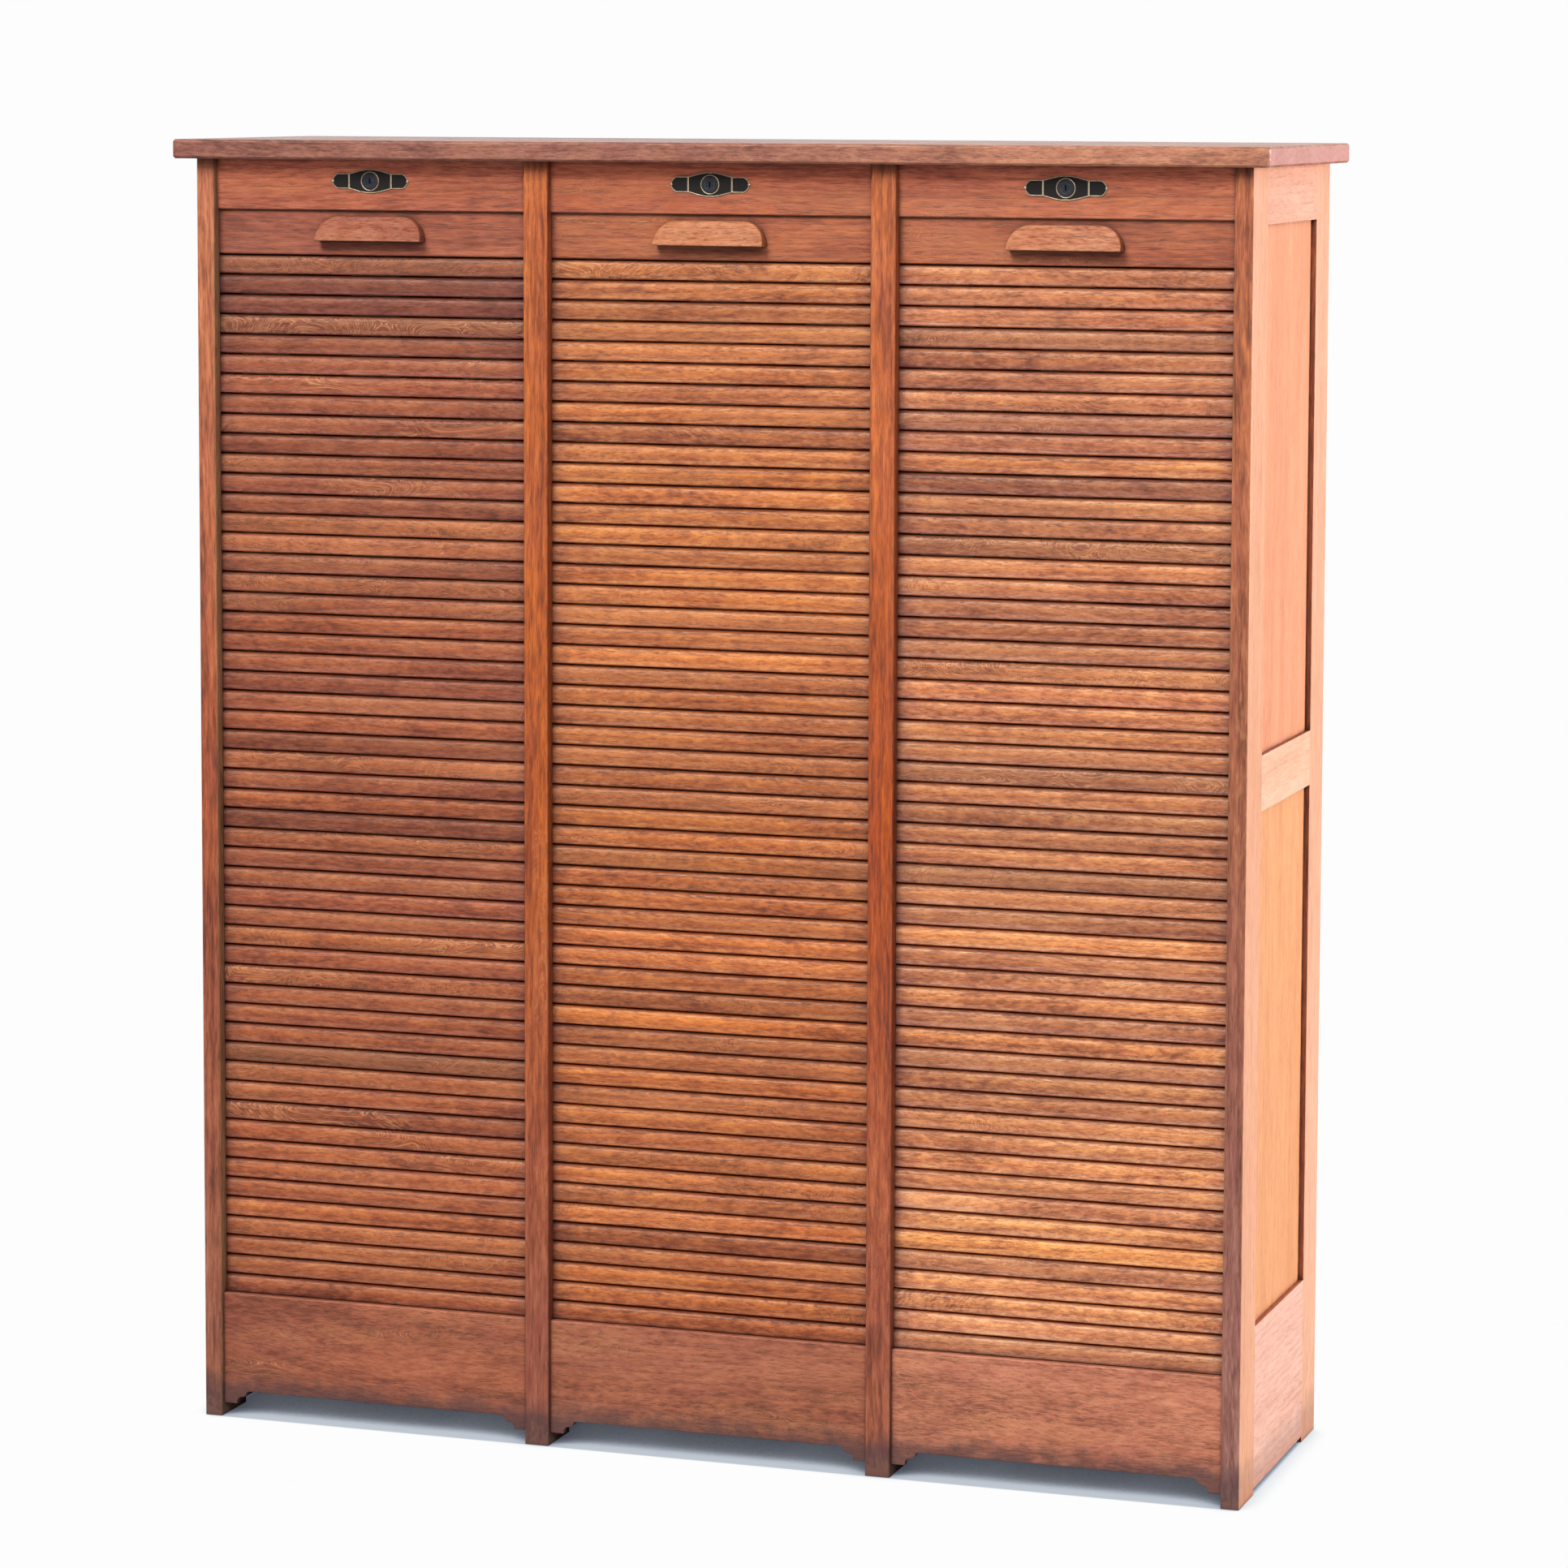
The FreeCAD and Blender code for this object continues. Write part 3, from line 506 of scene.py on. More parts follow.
def oak_finish(name, tones, grain="X", board=0, flecks=0.3, faded_and_lit_from=None, gloss=0.42,
               own_place=False, tints=None, ends=(0, 1), faded_and_lit_tint=(1, 1, 1), polished=False,
               scuffed=0.0, shaded=0.60, run=1.0, raw_below=None, painted_light_band=None):
    """An oak material. board picks the piece of the block, and tints makes the board lighter or
    darker than its kind at its low end, middle and high end, partly by stain and partly as painted
    light. faded_and_lit_from is the distance from the cabinet's middle, in metres, beyond which the
    outside is pale, partly bleached by daylight and partly painted light, and faded_and_lit_tint is
    the tint of that. A polished board has a thin clear coat on its top. scuffed is how pale its
    foot is, shaded how dark the painted shade in its nooks is, and a small run draws its marks out
    along the grain. Nearer the cabinet's middle than raw_below the wood is bare. painted_light_band
    is a
    pair: two heights and the tints of painted light between them."""
    material, tree, shader = new_material(name)
    if own_place:
        at = add(tree, "Attribute", attribute_name="wood_place").outputs["Vector"]
        room = add(tree, "TexCoord").outputs["Object"]
    else:
        at = room = add(tree, "TexCoord").outputs["Object"]
    shift = (0.37 * board, 0.113 * board % 1.7, 0.171 * board % 2.3)
    drawn_out = [run if axis == grain else 1.0 for axis in "XYZ"]
    inputs = {"Vector": at, "Rotation": grain_turns[grain], "Location": shift,
              "Scale": drawn_out}
    place = add(tree, "Mapping", inputs).outputs[0]
    if own_place:
        own = add(tree, "Attribute", attribute_name="wood_tone").outputs
        flecks = own["Alpha"]
    wood = use_group(tree, oak_block, {"Place": place, "Flecks": flecks})
    edges = use_group(tree, worn_edges, {"Place": room})
    shade_and_dirt = use_group(tree, shade_and_grime, {"Place": room})

    colour = tone_ramp(tree, wood["Figure"], tones)
    if tints:
        colour = mix(tree, 1.0, colour, along_board(tree, room, grain, ends, tints), "MULTIPLY")
    # Painted light: a band that lightens the board between two heights.
    if painted_light_band:
        colour = mix(tree, 1.0, colour, along_board(tree, room, "Z", *painted_light_band), "MULTIPLY")
    if own_place:
        colour = mix(tree, 1.0, colour, own["Color"], "MULTIPLY")
    out = maths(tree, "ABSOLUTE", along(tree, room, "X"))
    marks_kept, nook_shade_tint = 1.0, nook_shade
    if faded_and_lit_from is not None:
        # The pale outside: partly faded, partly painted light.
        pale_share = remap(tree, out, faded_and_lit_from, faded_and_lit_from + pale_depth)
        pale = [[shade * share for shade, share in zip(tone, faded_and_lit_tint)] for tone in faded_and_lit_tones]
        colour = mix(tree, pale_share, colour, tone_ramp(tree, wood["Figure"], pale))
        marks_kept = maths(tree, "MULTIPLY_ADD", pale_share, -0.60, 1.0)
        nook_shade_tint = mix(tree, pale_share, nook_shade, pale_nook_tint)
    if raw_below is not None:
        bare = remap(tree, out, raw_below, raw_below - bare_depth)
        colour = mix(tree, bare, colour, tone_ramp(tree, wood["Figure"], oak_tones["inside"]))

    # Each layer: its mask, how strongly it shows, its colour, how it is laid on, and the share of
    # it that is left where the outside is pale. The nook layer is painted shade, and the corner
    # layer is painted shade and dirt together.
    layers = (
        (wood["Patches"], 0.30 if own_place else 0.50, purple_stain, "MULTIPLY", marks_kept),
        (wood["Streaks"], 0.30, streak_shade, "MULTIPLY", marks_kept),
        (wood["Glints"], 0.60, glint_shade, "MULTIPLY", marks_kept),
        (wood["Rays"], 0.60, ray_wood, "MIX", marks_kept),
        (wood["Between"], 0.45, between_shade, "MULTIPLY", marks_kept),
        (wood["Pores"], 0.40, pore_colour, "MIX", marks_kept),
        (edges["Wear"], 0.55, worn_wood, "MIX", 1.0),
        # painted shade in the wider nooks
        (shade_and_dirt["NookShade"], shaded, nook_shade_tint, "MULTIPLY", 1.0),
        (shade_and_dirt["Feet"], 0.80, floor_dirt, "MIX", marks_kept),
        (shade_and_dirt["Scuffs"], scuffed, worn_wood, "MIX", 1.0),
        # painted shade and dirt together in the corners
        (shade_and_dirt["CornerShadeAndDirt"], 0.40 if own_place else 0.85, corner_shade_and_dirt, "MIX", 1.0))
    for mask, strength, shade, way, left in layers:
        shown = maths(tree, "MULTIPLY", maths(tree, "MULTIPLY", mask, strength), left)
        colour = mix(tree, shown, colour, shade, way)

    dull = maths(tree, "MULTIPLY_ADD", wood["Patches"], 0.16, gloss)
    dull = maths(tree, "MULTIPLY_ADD", wood["Pores"], 0.20, dull)
    dull = maths(tree, "MULTIPLY_ADD", shade_and_dirt["Feet"], 0.15, dull)
    if polished:
        faces_up = along(tree, add(tree, "NewGeometry").outputs["Normal"], "Z")
        connect(tree, shader, {"Coat Weight": remap(tree, faces_up, 0.6, 0.9, 0.0, 0.25),
                               "Coat Roughness": 0.12})
    relief = maths(tree, "MULTIPLY_ADD", wood["Pores"], -1.0,
                   maths(tree, "MULTIPLY", wood["Figure"], 0.35))
    inputs = {"Strength": 0.35, "Distance": pore_depth, "Height": relief,
              "Normal": edges["Normal"]}
    connect(tree, shader, {"Base Color": colour, "Roughness": dull,
                           "Normal": add(tree, "Bump", inputs).outputs[0]})
    return material


# The pale outside, partly faded and partly painted light, starts just inside the outermost faces,
# so that it stays off the front edges.
top_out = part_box("top_board")[1].x - pale_depth
gable_out = abs(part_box("right_gable_front_stile")[1].x) - pale_depth
panel_out = abs(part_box("right_gable_upper_panel")[1].x) - pale_depth

# Which boards take which stain: the end of the part's name, tones, grain, flecks, where the pale
# faded and painted-light outside starts, gloss.
board_finishes = (
    ("top_board", "top", "X", 0.25, top_out, 0.36),
    ("gable_front_stile", "stile", "Z", 0.20, gable_out, 0.42),
    ("gable_rear_stile", "stile", "Z", 0.20, gable_out, 0.42),
    ("gable_top_rail", "post", "Y", 0.20, gable_out, 0.42),
    ("gable_middle_rail", "post", "Y", 0.20, gable_out, 0.42),
    ("gable_bottom_rail", "post", "Y", 0.35, gable_out, 0.42),
    ("_panel", "post", "Z", 0.35, panel_out, 0.42),
    ("partition_post", "post", "Z", 0.20, None, 0.40),
    ("partition_board", "inside", "Z", 0.20, None, 0.60),
    ("top_rail", "rail", "X", 0.25, None, 0.40),
    ("lead_rail", "rail", "X", 0.50, None, 0.42),
    ("plinth", "plinth", "X", 0.40, None, 0.46),
    ("bottom_board", "inside", "X", 0.20, None, 0.60),
    ("shelves", "inside", "X", 0.25, None, 0.58),
    ("shelf_cleats", "inside", "Y", 0.10, None, 0.62),
    ("false_backs", "inside", "Z", 0.30, None, 0.62),
    ("back_panels", "back", "Z", 0.20, None, 0.66),
)

# How far the marks are drawn out along the grain, by stain. For other stains it is 1, and less
# where the grain runs upright or to the back.
board_runs = {"rail": 0.50, "plinth": 0.80, "inside": 0.50, "back": 0.50}
turned_run = 0.42

# The inner faces of the gables never had a finish: they lie nearer the middle than this.
raw_from = {node: min(abs(corner.x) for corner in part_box(node)) + 0.6 * mm
            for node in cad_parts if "gable" in node}

# How a board differs from its kind at its low end, middle and high end: partly its own stain,
# partly painted light and shade where the lamps fall stronger or weaker.
board_light_and_stain = {
    "top_board": ((0.73, 0.70, 0.81), (0.77, 0.75, 0.80), (1.09, 1.10, 1.00)),
    "left_gable_front_stile": ((0.70, 0.76, 1.03), (0.89, 0.65, 0.59), (1.05, 1.09, 1.16)),
    "left_partition_post": ((0.60, 0.68, 1.75), (0.93, 0.80, 0.42), (0.94, 0.94, 1.01)),
    "right_partition_post": ((0.77, 0.92, 2.02), (0.89, 0.64, 0.23), (1.01, 1.08, 1.43)),
    "right_gable_front_stile": ((0.63, 0.83, 1.63), (0.72, 0.72, 0.85), (1.05, 0.99, 0.85)),
    "left_top_rail": ((1.01, 0.90, 1.00), (0.99, 0.87, 0.97), (0.92, 0.82, 0.94)),
    "centre_top_rail": ((0.83, 0.66, 0.67), (0.83, 0.66, 0.69), (0.85, 0.70, 0.70)),
    "right_top_rail": ((0.87, 0.76, 0.86), (0.90, 0.79, 0.87), (0.95, 0.84, 0.87)),
    "left_lead_rail": ((0.61, 0.56, 0.76), (0.70, 0.62, 0.79), (0.78, 0.74, 0.85)),
    "centre_lead_rail": ((0.73, 0.65, 0.63), (0.78, 0.71, 0.65), (0.84, 0.75, 0.70)),
    "right_lead_rail": ((0.77, 0.66, 0.67), (0.77, 0.66, 0.67), (0.80, 0.69, 0.68)),
    "left_plinth": ((0.74, 0.65, 0.77), (0.92, 0.84, 0.93), (0.90, 0.84, 0.93)),
    "centre_plinth": ((0.86, 0.84, 0.97), (0.88, 0.85, 0.99), (0.90, 0.87, 1.01)),
    "right_plinth": ((1.12, 1.22, 1.54), (1.20, 1.31, 1.65), (1.20, 1.31, 1.67)),
}

# Painted light: under the overhang of the top board, where its shadow falls, the top rails are
# painted lighter, up to about twice as light near the top.
painted_light_tints = ((0.91, 0.92, 0.96), (0.85, 0.85, 0.80), (1.80, 1.84, 2.12))
painted_light_edge = 7 * mm

# The tint of the pale outside, by the end of the part's name. It is partly painted light: the
# rails are painted lighter and bluer the lower they lie.
faded_and_lit_tints = {
    "top_board": (0.73, 0.74, 1.28),
    "gable_front_stile": (0.97, 1.05, 1.18),
    "gable_rear_stile": (0.98, 1.14, 1.38),
    "gable_top_rail": (1.00, 1.12, 1.52),
    "gable_middle_rail": (1.05, 1.33, 1.72),
    "gable_bottom_rail": (1.07, 1.37, 2.08),
    "gable_upper_panel": (0.99, 0.88, 0.85),
    "gable_lower_panel": (0.99, 0.98, 0.78),
}


def dress(node, material):
    """Puts one material on every slot of a measured part."""
    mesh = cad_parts[node].data
    for index in range(len(mesh.materials)):
        mesh.materials[index] = material


dressed = set()
for ending, stain, grain, flecks, faded_and_lit_from, gloss in board_finishes:
    kicked = stain in ("post", "stile") and grain == "Z"
    under_overhang = ending == "top_rail"
    for node in sorted(set(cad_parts) - dressed):
        if not node.endswith(ending):
            continue
        low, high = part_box(node)
        axis = "XYZ".index(grain)
        faded_and_lit_tint = next((tint for end, tint in faded_and_lit_tints.items() if node.endswith(end)),
                          (1, 1, 1))
        finish = oak_finish(
            f"oak_{node}", oak_tones[stain], grain, len(dressed) + 1, flecks, faded_and_lit_from, gloss,
            tints=board_light_and_stain.get(node), ends=(low[axis], high[axis]), faded_and_lit_tint=faded_and_lit_tint,
            polished=node == "top_board", scuffed=0.08 if kicked else 0.0,
            # Top rails get little painted nook shade, and a painted light band under the overhang.
            shaded=0.10 if under_overhang else 0.60,
            run=board_runs.get(stain, 1.0 if grain == "X" else turned_run),
            raw_below=raw_from.get(node),
            painted_light_band=((low.z, high.z - painted_light_edge), painted_light_tints) if under_overhang else None)
        dress(node, finish)
        dressed.add(node)
print(len(dressed), "oak boards dressed")

# %% [markdown]
# ## Iron, brass and canvas
#
# The locks are black iron that has rubbed bright at the rims. The lock plates are brass with a
# black ground. The brass shows only where hands reach it. Both are one colour seen through
# tarnish, so noise decides how much tarnish lies where, and the worn edges break through it.
# The canvas behind the slats is a plain weave, and two crossed waves make its threads.

# %% The metal and canvas finishes
scratch_depth = 0.15 * mm
thread_depth = 0.3 * mm
linen_dark, linen_light = (0.24, 0.19, 0.12, 1), (0.52, 0.45, 0.32, 1)
glue_stain = (0.30, 0.19, 0.08, 1)


def metal_finish(name, bright, dark, tarnish, gloss, metallic=1.0):
    """A metal under tarnish. tarnish is the share that it covers, from 0 to 1."""
    material, tree, shader = new_material(name)
    room = add(tree, "TexCoord").outputs["Object"]
    edges = use_group(tree, worn_edges, {"Place": room})
    shade_and_dirt = use_group(tree, shade_and_grime, {"Place": room})
    cloud = noise(tree, room, (420, 420, 420), 5.0, 0.7)
    cover = remap(tree, cloud, 0.30 + 0.6 * tarnish, 0.06 + 0.6 * tarnish)
    cover = maths(tree, "MULTIPLY", cover, maths(tree, "SUBTRACT", 1.0, edges["Wear"]))
    colour = mix(tree, cover, (*bright, 1), (*dark, 1))
    # Painted shade and dirt darken the corners.
    colour = mix(tree, maths(tree, "MULTIPLY", shade_and_dirt["CornerShadeAndDirt"], 0.7), colour, corner_shade_and_dirt)
    scratches = noise(tree, room, (900, 900, 160), 3.0, 0.6)
    inputs = {"Strength": 0.25, "Distance": scratch_depth, "Height": scratches,
              "Normal": edges["Normal"]}
    connect(tree, shader, {
        "Base Color": colour,
        "Roughness": maths(tree, "MULTIPLY_ADD", cover, 0.25, gloss),
        "Metallic": maths(tree, "MULTIPLY_ADD", cover, -0.35 * metallic, metallic),
        "Normal": add(tree, "Bump", inputs).outputs[0]})
    return material


def canvas_finish():
    """Coarse linen, glued to the backs of the slats and yellowed by the glue."""
    material, tree, shader = new_material("linen_canvas")
    room = add(tree, "TexCoord").outputs["Object"]
    threads = []
    for direction in ("X", "Z"):
        inputs = {"Vector": room, "Scale": 320.0, "Distortion": 0.6, "Detail": 1.0}
        threads.append(add(tree, "TexWave", inputs, wave_type="BANDS",
                           bands_direction=direction).outputs["Fac"])
    weave = maths(tree, "MAXIMUM", *threads)
    glue = noise(tree, room, (24, 24, 24), 4.0, 0.6)
    colour = mix(tree, weave, linen_dark, linen_light)
    colour = mix(tree, remap(tree, glue, 0.45, 0.70), colour, glue_stain)
    inputs = {"Strength": 0.6, "Distance": thread_depth, "Height": weave}
    connect(tree, shader, {"Base Color": colour,
                           "Roughness": maths(tree, "MULTIPLY_ADD", glue, -0.2, 0.95),
                           "Normal": add(tree, "Bump", inputs).outputs[0]})
    return material


# The numbers are the bright colour, the dark colour, the tarnish, the gloss and the metal.
black_iron = metal_finish(
    "black_iron", (0.12, 0.13, 0.16), (0.012, 0.015, 0.024), 0.88, 0.34, 0.4)
plug_steel = metal_finish(
    "plug_steel", (0.085, 0.095, 0.140), (0.008, 0.010, 0.020), 0.76, 0.34, 0.3)
old_brass = metal_finish(
    "old_brass", (0.66, 0.53, 0.36), (0.110, 0.084, 0.060), 0.40, 0.42, 0.7)
strike_brass = metal_finish(
    "strike_brass", (0.62, 0.47, 0.24), (0.20, 0.14, 0.08), 0.36, 0.30)
black_ground = metal_finish(
    "black_ground", (0.034, 0.026, 0.022), (0.009, 0.007, 0.007), 0.90, 0.70, 0.0)
linen = canvas_finish()
for bay in bays:
    dress(f"{bay}_lock_plug", plug_steel)
    dress(f"{bay}_lock_hook", black_iron)
    dress(f"{bay}_strike_plate", strike_brass)
dress("lock_cases", black_iron)
print("metals dressed; materials so far:", len(bpy.data.materials))

# %% [markdown]
# ## Modelling by hand, in code
#
# The new pieces are made as at the screen: add a primitive, go to edit mode, select, bevel,
# inset, extrude. A click can't be written down, so a test on each face or edge takes its place.
# An operator works on all that is selected, so each piece starts with nothing selected.

# %% Helpers for modelling
hair = 0.1 * mm  # how near a face or an edge has to lie to be taken


def start_alone(piece=None):
    """Object mode, with nothing selected, or only one piece that is active too."""
    if bpy.context.mode != "OBJECT":
        bpy.ops.object.mode_set(mode="OBJECT")
    bpy.ops.object.select_all(action="DESELECT")
    if piece:
        piece.select_set(True)
        bpy.context.view_layer.objects.active = piece


def settle(piece, modifier):
    """Applies the modifier that was just added to a piece."""
    start_alone(piece)
    bpy.ops.object.modifier_apply(modifier=modifier.name)


def block(name, low, high):
    """A cube between two corners, whose place is in its mesh."""
    start_alone()
    low, high = Vector(low), Vector(high)
    bpy.ops.mesh.primitive_cube_add(size=1, location=(low + high) / 2, scale=high - low)
    piece = bpy.context.object
    piece.name = piece.data.name = name
    bpy.ops.object.transform_apply()
    return piece


def pick(piece, kind, test):
    """In edit mode, selects the VERT, EDGE or FACE elements that pass a test."""
    bpy.ops.object.mode_set(mode="EDIT")
    bpy.ops.mesh.select_mode(type=kind)
    bpy.ops.mesh.select_all(action="DESELECT")
    shape = bmesh.from_edit_mesh(piece.data)
    found = [part for part in {"VERT": shape.verts, "EDGE": shape.edges, "FACE": shape.faces}[kind]
             if test(part)]
    for part in found:
        part.select_set(True)
    bmesh.update_edit_mesh(piece.data)
    return len(found)


def cut_across(point, direction):
    """Bisects the piece in edit mode by a plane, and keeps both halves."""
    bpy.ops.object.mode_set(mode="EDIT")
    bpy.ops.mesh.select_all(action="SELECT")
    bpy.ops.mesh.bisect(plane_co=point, plane_no=direction)


def middle(edge):
    return (edge.verts[0].co + edge.verts[1].co) / 2


def push(x, y, z):
    """Moves what is picked."""
    bpy.ops.transform.translate(value=(x, y, z))


def round_off(radius, segments, profile=0.5):
    """Bevels the edges that are picked."""
    bpy.ops.mesh.bevel(offset=radius, segments=segments, profile=profile, affect="EDGES",
                       clamp_overlap=False)


def runs_along(edge, axis):
    """True for an edge that runs along X (0), Y (1) or Z (2)."""
    return abs((edge.verts[1].co - edge.verts[0].co).normalized()[axis]) > 0.999


def subtract(piece, cutter):
    """Cuts one shape out of another, and deletes the cutter."""
    cut = piece.modifiers.new("cut", "BOOLEAN")
    cut.object, cut.operation, cut.solver = cutter, "DIFFERENCE", "EXACT"
    settle(piece, cut)
    bpy.data.objects.remove(cutter)


def finish_piece(piece, body, smooth_below=35):
    """Smooth shading below an angle, then the piece rides on its body."""
    start_alone(piece)
    bpy.ops.object.shade_smooth_by_angle(angle=math.radians(smooth_below))
    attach(piece, body)
    piece.data.update()
    return piece


print("modelling helpers ready")

# %% [markdown]
# ## The slats
#
# A shutter is 54 narrow slats on canvas. Each slat is crowned, so light slides off its upper
# edge, and a dark line shows at every joint. The slat is modelled once, as a long block whose
# front is narrower than its back, more so above than below. Its face is cut five times along
# and twice near each end. The rows are pushed forward for the crown, and the two front arrises
# bevelled. An Array modifier then sets 54 of them, one pitch apart.
#
# Slats cut from different boards never match. Each gets its own tone and its own piece of the
# oak block, written on its points, so that the grain stays on the slat when the shutter is down.
# The tone holds painted light as well: a painted shadow along the upper arris, a painted
# reflection on the lower one, painted shade near the posts, and painted light that differs by bay.
# In use the slats go round under the floor. A single slide can't do that, so the whole sheet of
# slats draws together behind the plinth. Here the slats are only hung on their shutter's body.

# %% Model a slat and lay the shutters
slat_pitch = 24 * mm
slat_joint = 0.5 * mm
slat_crown = 1.5 * mm
slat_tapers = ((-1, 0.5 * mm), (1, 2.9 * mm))  # below and above: the joint shows low
slat_arris = 2.0 * mm
crown_rows = (-0.28, -0.14, 0.0, 0.14, 0.28)
arris_beyond = 0.36  # of the slat's height, from its middle
# Per bay, partly stain and partly painted light: lighter towards the right, and changing from the
# highest slat to the lowest.
bay_light_and_stain = {  # of the highest slat, of the middle one and of the lowest
    "left": ((0.75, 0.62, 0.79), (0.94, 0.79, 0.82), (1.01, 0.88, 0.93)),
    "centre": ((1.33, 1.34, 1.19), (1.32, 1.21, 0.90), (1.25, 1.12, 0.95)),
    "right": ((1.31, 1.41, 1.72), (1.25, 1.38, 1.56), (1.93, 2.40, 2.95)),
}
# Painted light and shade across a slat: darker along its upper arris, a painted shadow, and
# lighter and bluish along its lower one, a painted reflection of the floor.
painted_light_at = (-0.46, -0.417, -0.35, -0.25, -0.15, 0.0, 0.083, 0.167, 0.25, 0.30, 0.35, 0.40, 0.46)
painted_light_shades = ((1.20, 1.02, 1.08), (1.12, 1.29, 1.77), (1.08, 1.27, 1.92), (0.96, 0.97, 1.20),
                 (0.88, 0.81, 0.80), (0.92, 0.85, 0.77), (1.02, 0.98, 0.91), (1.08, 1.14, 1.05),
                 (1.03, 1.07, 1.04), (0.86, 0.90, 0.91), (0.83, 0.89, 0.89), (0.73, 0.69, 0.65),
                 (0.90, 0.77, 0.72))
groove_shade = (1.15, 0.62, 0.48)
groove_depth = 9 * mm
darkest_slat = 0.76
loosest_mm, most_tilted_mm = 0.35, 0.25
fleck_shares = (0.1, 0.3, 0.3, 0.55, 0.75)
first_seed = 11
# Near the posts the slats are painted darker and greyer: painted shade from the posts, and dirt
# where no hand reaches.
end_shade_reach = 34 * mm
end_shade_and_dirt = (0.72, 0.76, 1.00)
end_cuts = (0.35 * end_shade_reach, end_shade_reach)


def model_slat(name, low, high):
    """One slat between two corners: tapered sides, a crowned face and two round arrises."""
    slat = block(name, low + Vector((0, slat_crown, 0)), high)
    face_y, height = low.y + slat_crown, high.z - low.z
    centre_z = (low.z + high.z) / 2
    for side, taper in slat_tapers:
        pick(slat, "VERT", lambda v: v.co.y < face_y + hair and side * (v.co.z - centre_z) > 0)
        push(0, 0, -side * taper)
    for share in crown_rows:
        cut_across((0, 0, centre_z + share * height), (0, 0, 1))
    for inset in end_cuts:
        for end in (low.x + inset, high.x - inset):
            cut_across((end, 0, 0), (1, 0, 0))
    for share in crown_rows:
        rise = slat_crown * (1 - (share / 0.5) ** 2)
        row = centre_z + share * height
        pick(slat, "VERT", lambda v: abs(v.co.z - row) < hair and v.co.y < face_y + hair)
        push(0, -rise, 0)
    pick(slat, "EDGE", lambda e: runs_along(e, 0) and middle(e).y < face_y + hair
         and abs(middle(e).z - centre_z) > arris_beyond * height)
    round_off(slat_arris, 3)
    return slat


def stack_slats(slat, count):
    """An array of slats, each one pitch below the last."""
    stack = slat.modifiers.new("stack", "ARRAY")
    stack.use_relative_offset, stack.use_constant_offset = False, True
    stack.constant_offset_displace = (0, 0, -slat_pitch)
    stack.count = count
    settle(slat, stack)


def tell_slats_apart(shutter, top, count, tint, draw):
    """Moves each slat a hair, and writes its place in the block and its tone on its points. The
    tone includes painted light and shade.

    A dark slat is a little more purple and a light one more golden. The tone's fourth number is
    how flecked the slat is.
    """
    mesh = shutter.data
    points = np.zeros(len(mesh.vertices) * 3)
    mesh.vertices.foreach_get("co", points)
    points = points.reshape(-1, 3)
    which = np.clip(((top - points[:, 2]) / slat_pitch).astype(int), 0, count - 1)
    place = points.copy()
    tones = np.ones((len(points), 4))
    middle_x = (points[:, 0].min() + points[:, 0].max()) / 2
    half_width = (points[:, 0].max() - points[:, 0].min()) / 2
    for index in range(count):
        mine = which == index
        points[mine, 1] += draw.uniform(0.0, loosest_mm) * mm
        lean = draw.uniform(-most_tilted_mm, most_tilted_mm) * mm
        points[mine, 1] += lean * (points[mine, 0] - points[mine, 0].mean()) / 0.2 + abs(lean)
        place[mine] += (draw.uniform(-40, 40), draw.uniform(-2, 2), draw.uniform(-2, 2))
        light = max(draw.gauss(1.0, 0.12), darkest_slat)
        warm = draw.gauss(0.0, 0.045) + (light - 1.0) * 0.35
        own = (light * (1 + 0.3 * warm), light * (1 + 0.25 * warm), light * (1 - 1.1 * warm))
        down = index / (count - 1)
        tones[mine, :3] = [value * np.interp(down, (0, 0.5, 1), shades)
                           for value, shades in zip(own, zip(*tint))]
        tones[mine, 3] = draw.choice(fleck_shares)
        centre = top - (index + 0.5) * slat_pitch
        share = (points[mine, 2] - centre) / slat_pitch
        depth = points[mine, 1] - points[mine, 1].min()
        inside = half_width - np.abs(points[mine, 0] - middle_x)
        # The tone takes painted light and shade across the slat, painted shade and dirt near its
        # ends, and a redder tint deep in the joint.
        for colour in range(3):
            light_and_dirt_tone = np.interp(share, painted_light_at, [shade[colour] for shade in painted_light_shades])
            light_and_dirt_tone *= np.interp(inside, (0, end_shade_reach), (end_shade_and_dirt[colour], 1.0))
            light_and_dirt_tone *= np.interp(depth, (slat_crown + slat_arris, groove_depth),
                              (1.0, groove_shade[colour]))
            tones[mine, colour] *= light_and_dirt_tone
    mesh.vertices.foreach_set("co", points.ravel())
    mesh.attributes.new("wood_place", "FLOAT_VECTOR", "POINT").data.foreach_set(
        "vector", place.ravel())
    mesh.attributes.new("wood_tone", "FLOAT_COLOR", "POINT").data.foreach_set(
        "color", np.clip(tones, 0.16, 4.0).ravel())
    mesh.update()


slat_oak = oak_finish("oak_slats", oak_tones["slat"], "X", 77, 0.50, own_place=True, shaded=0.40)
for number, bay in enumerate(bays):
    low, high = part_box(f"{bay}_shutter_slats")
    count = round((high.z - low.z + slat_joint) / slat_pitch)
    first_low = Vector((low.x, low.y, high.z - slat_pitch + slat_joint))
    shutter = model_slat(f"{bay}_slats", first_low, high)
    stack_slats(shutter, count)
    tell_slats_apart(shutter, high.z + slat_joint / 2, count, bay_light_and_stain[bay],
                     random.Random(first_seed + number))
    shutter.data.materials.append(slat_oak)
    finish_piece(shutter, f"{bay}_shutter")
    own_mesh(shutter)
    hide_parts(f"{bay}_shutter_slats")
    print(shutter.name, count, "slats,", len(shutter.data.polygons), "faces")

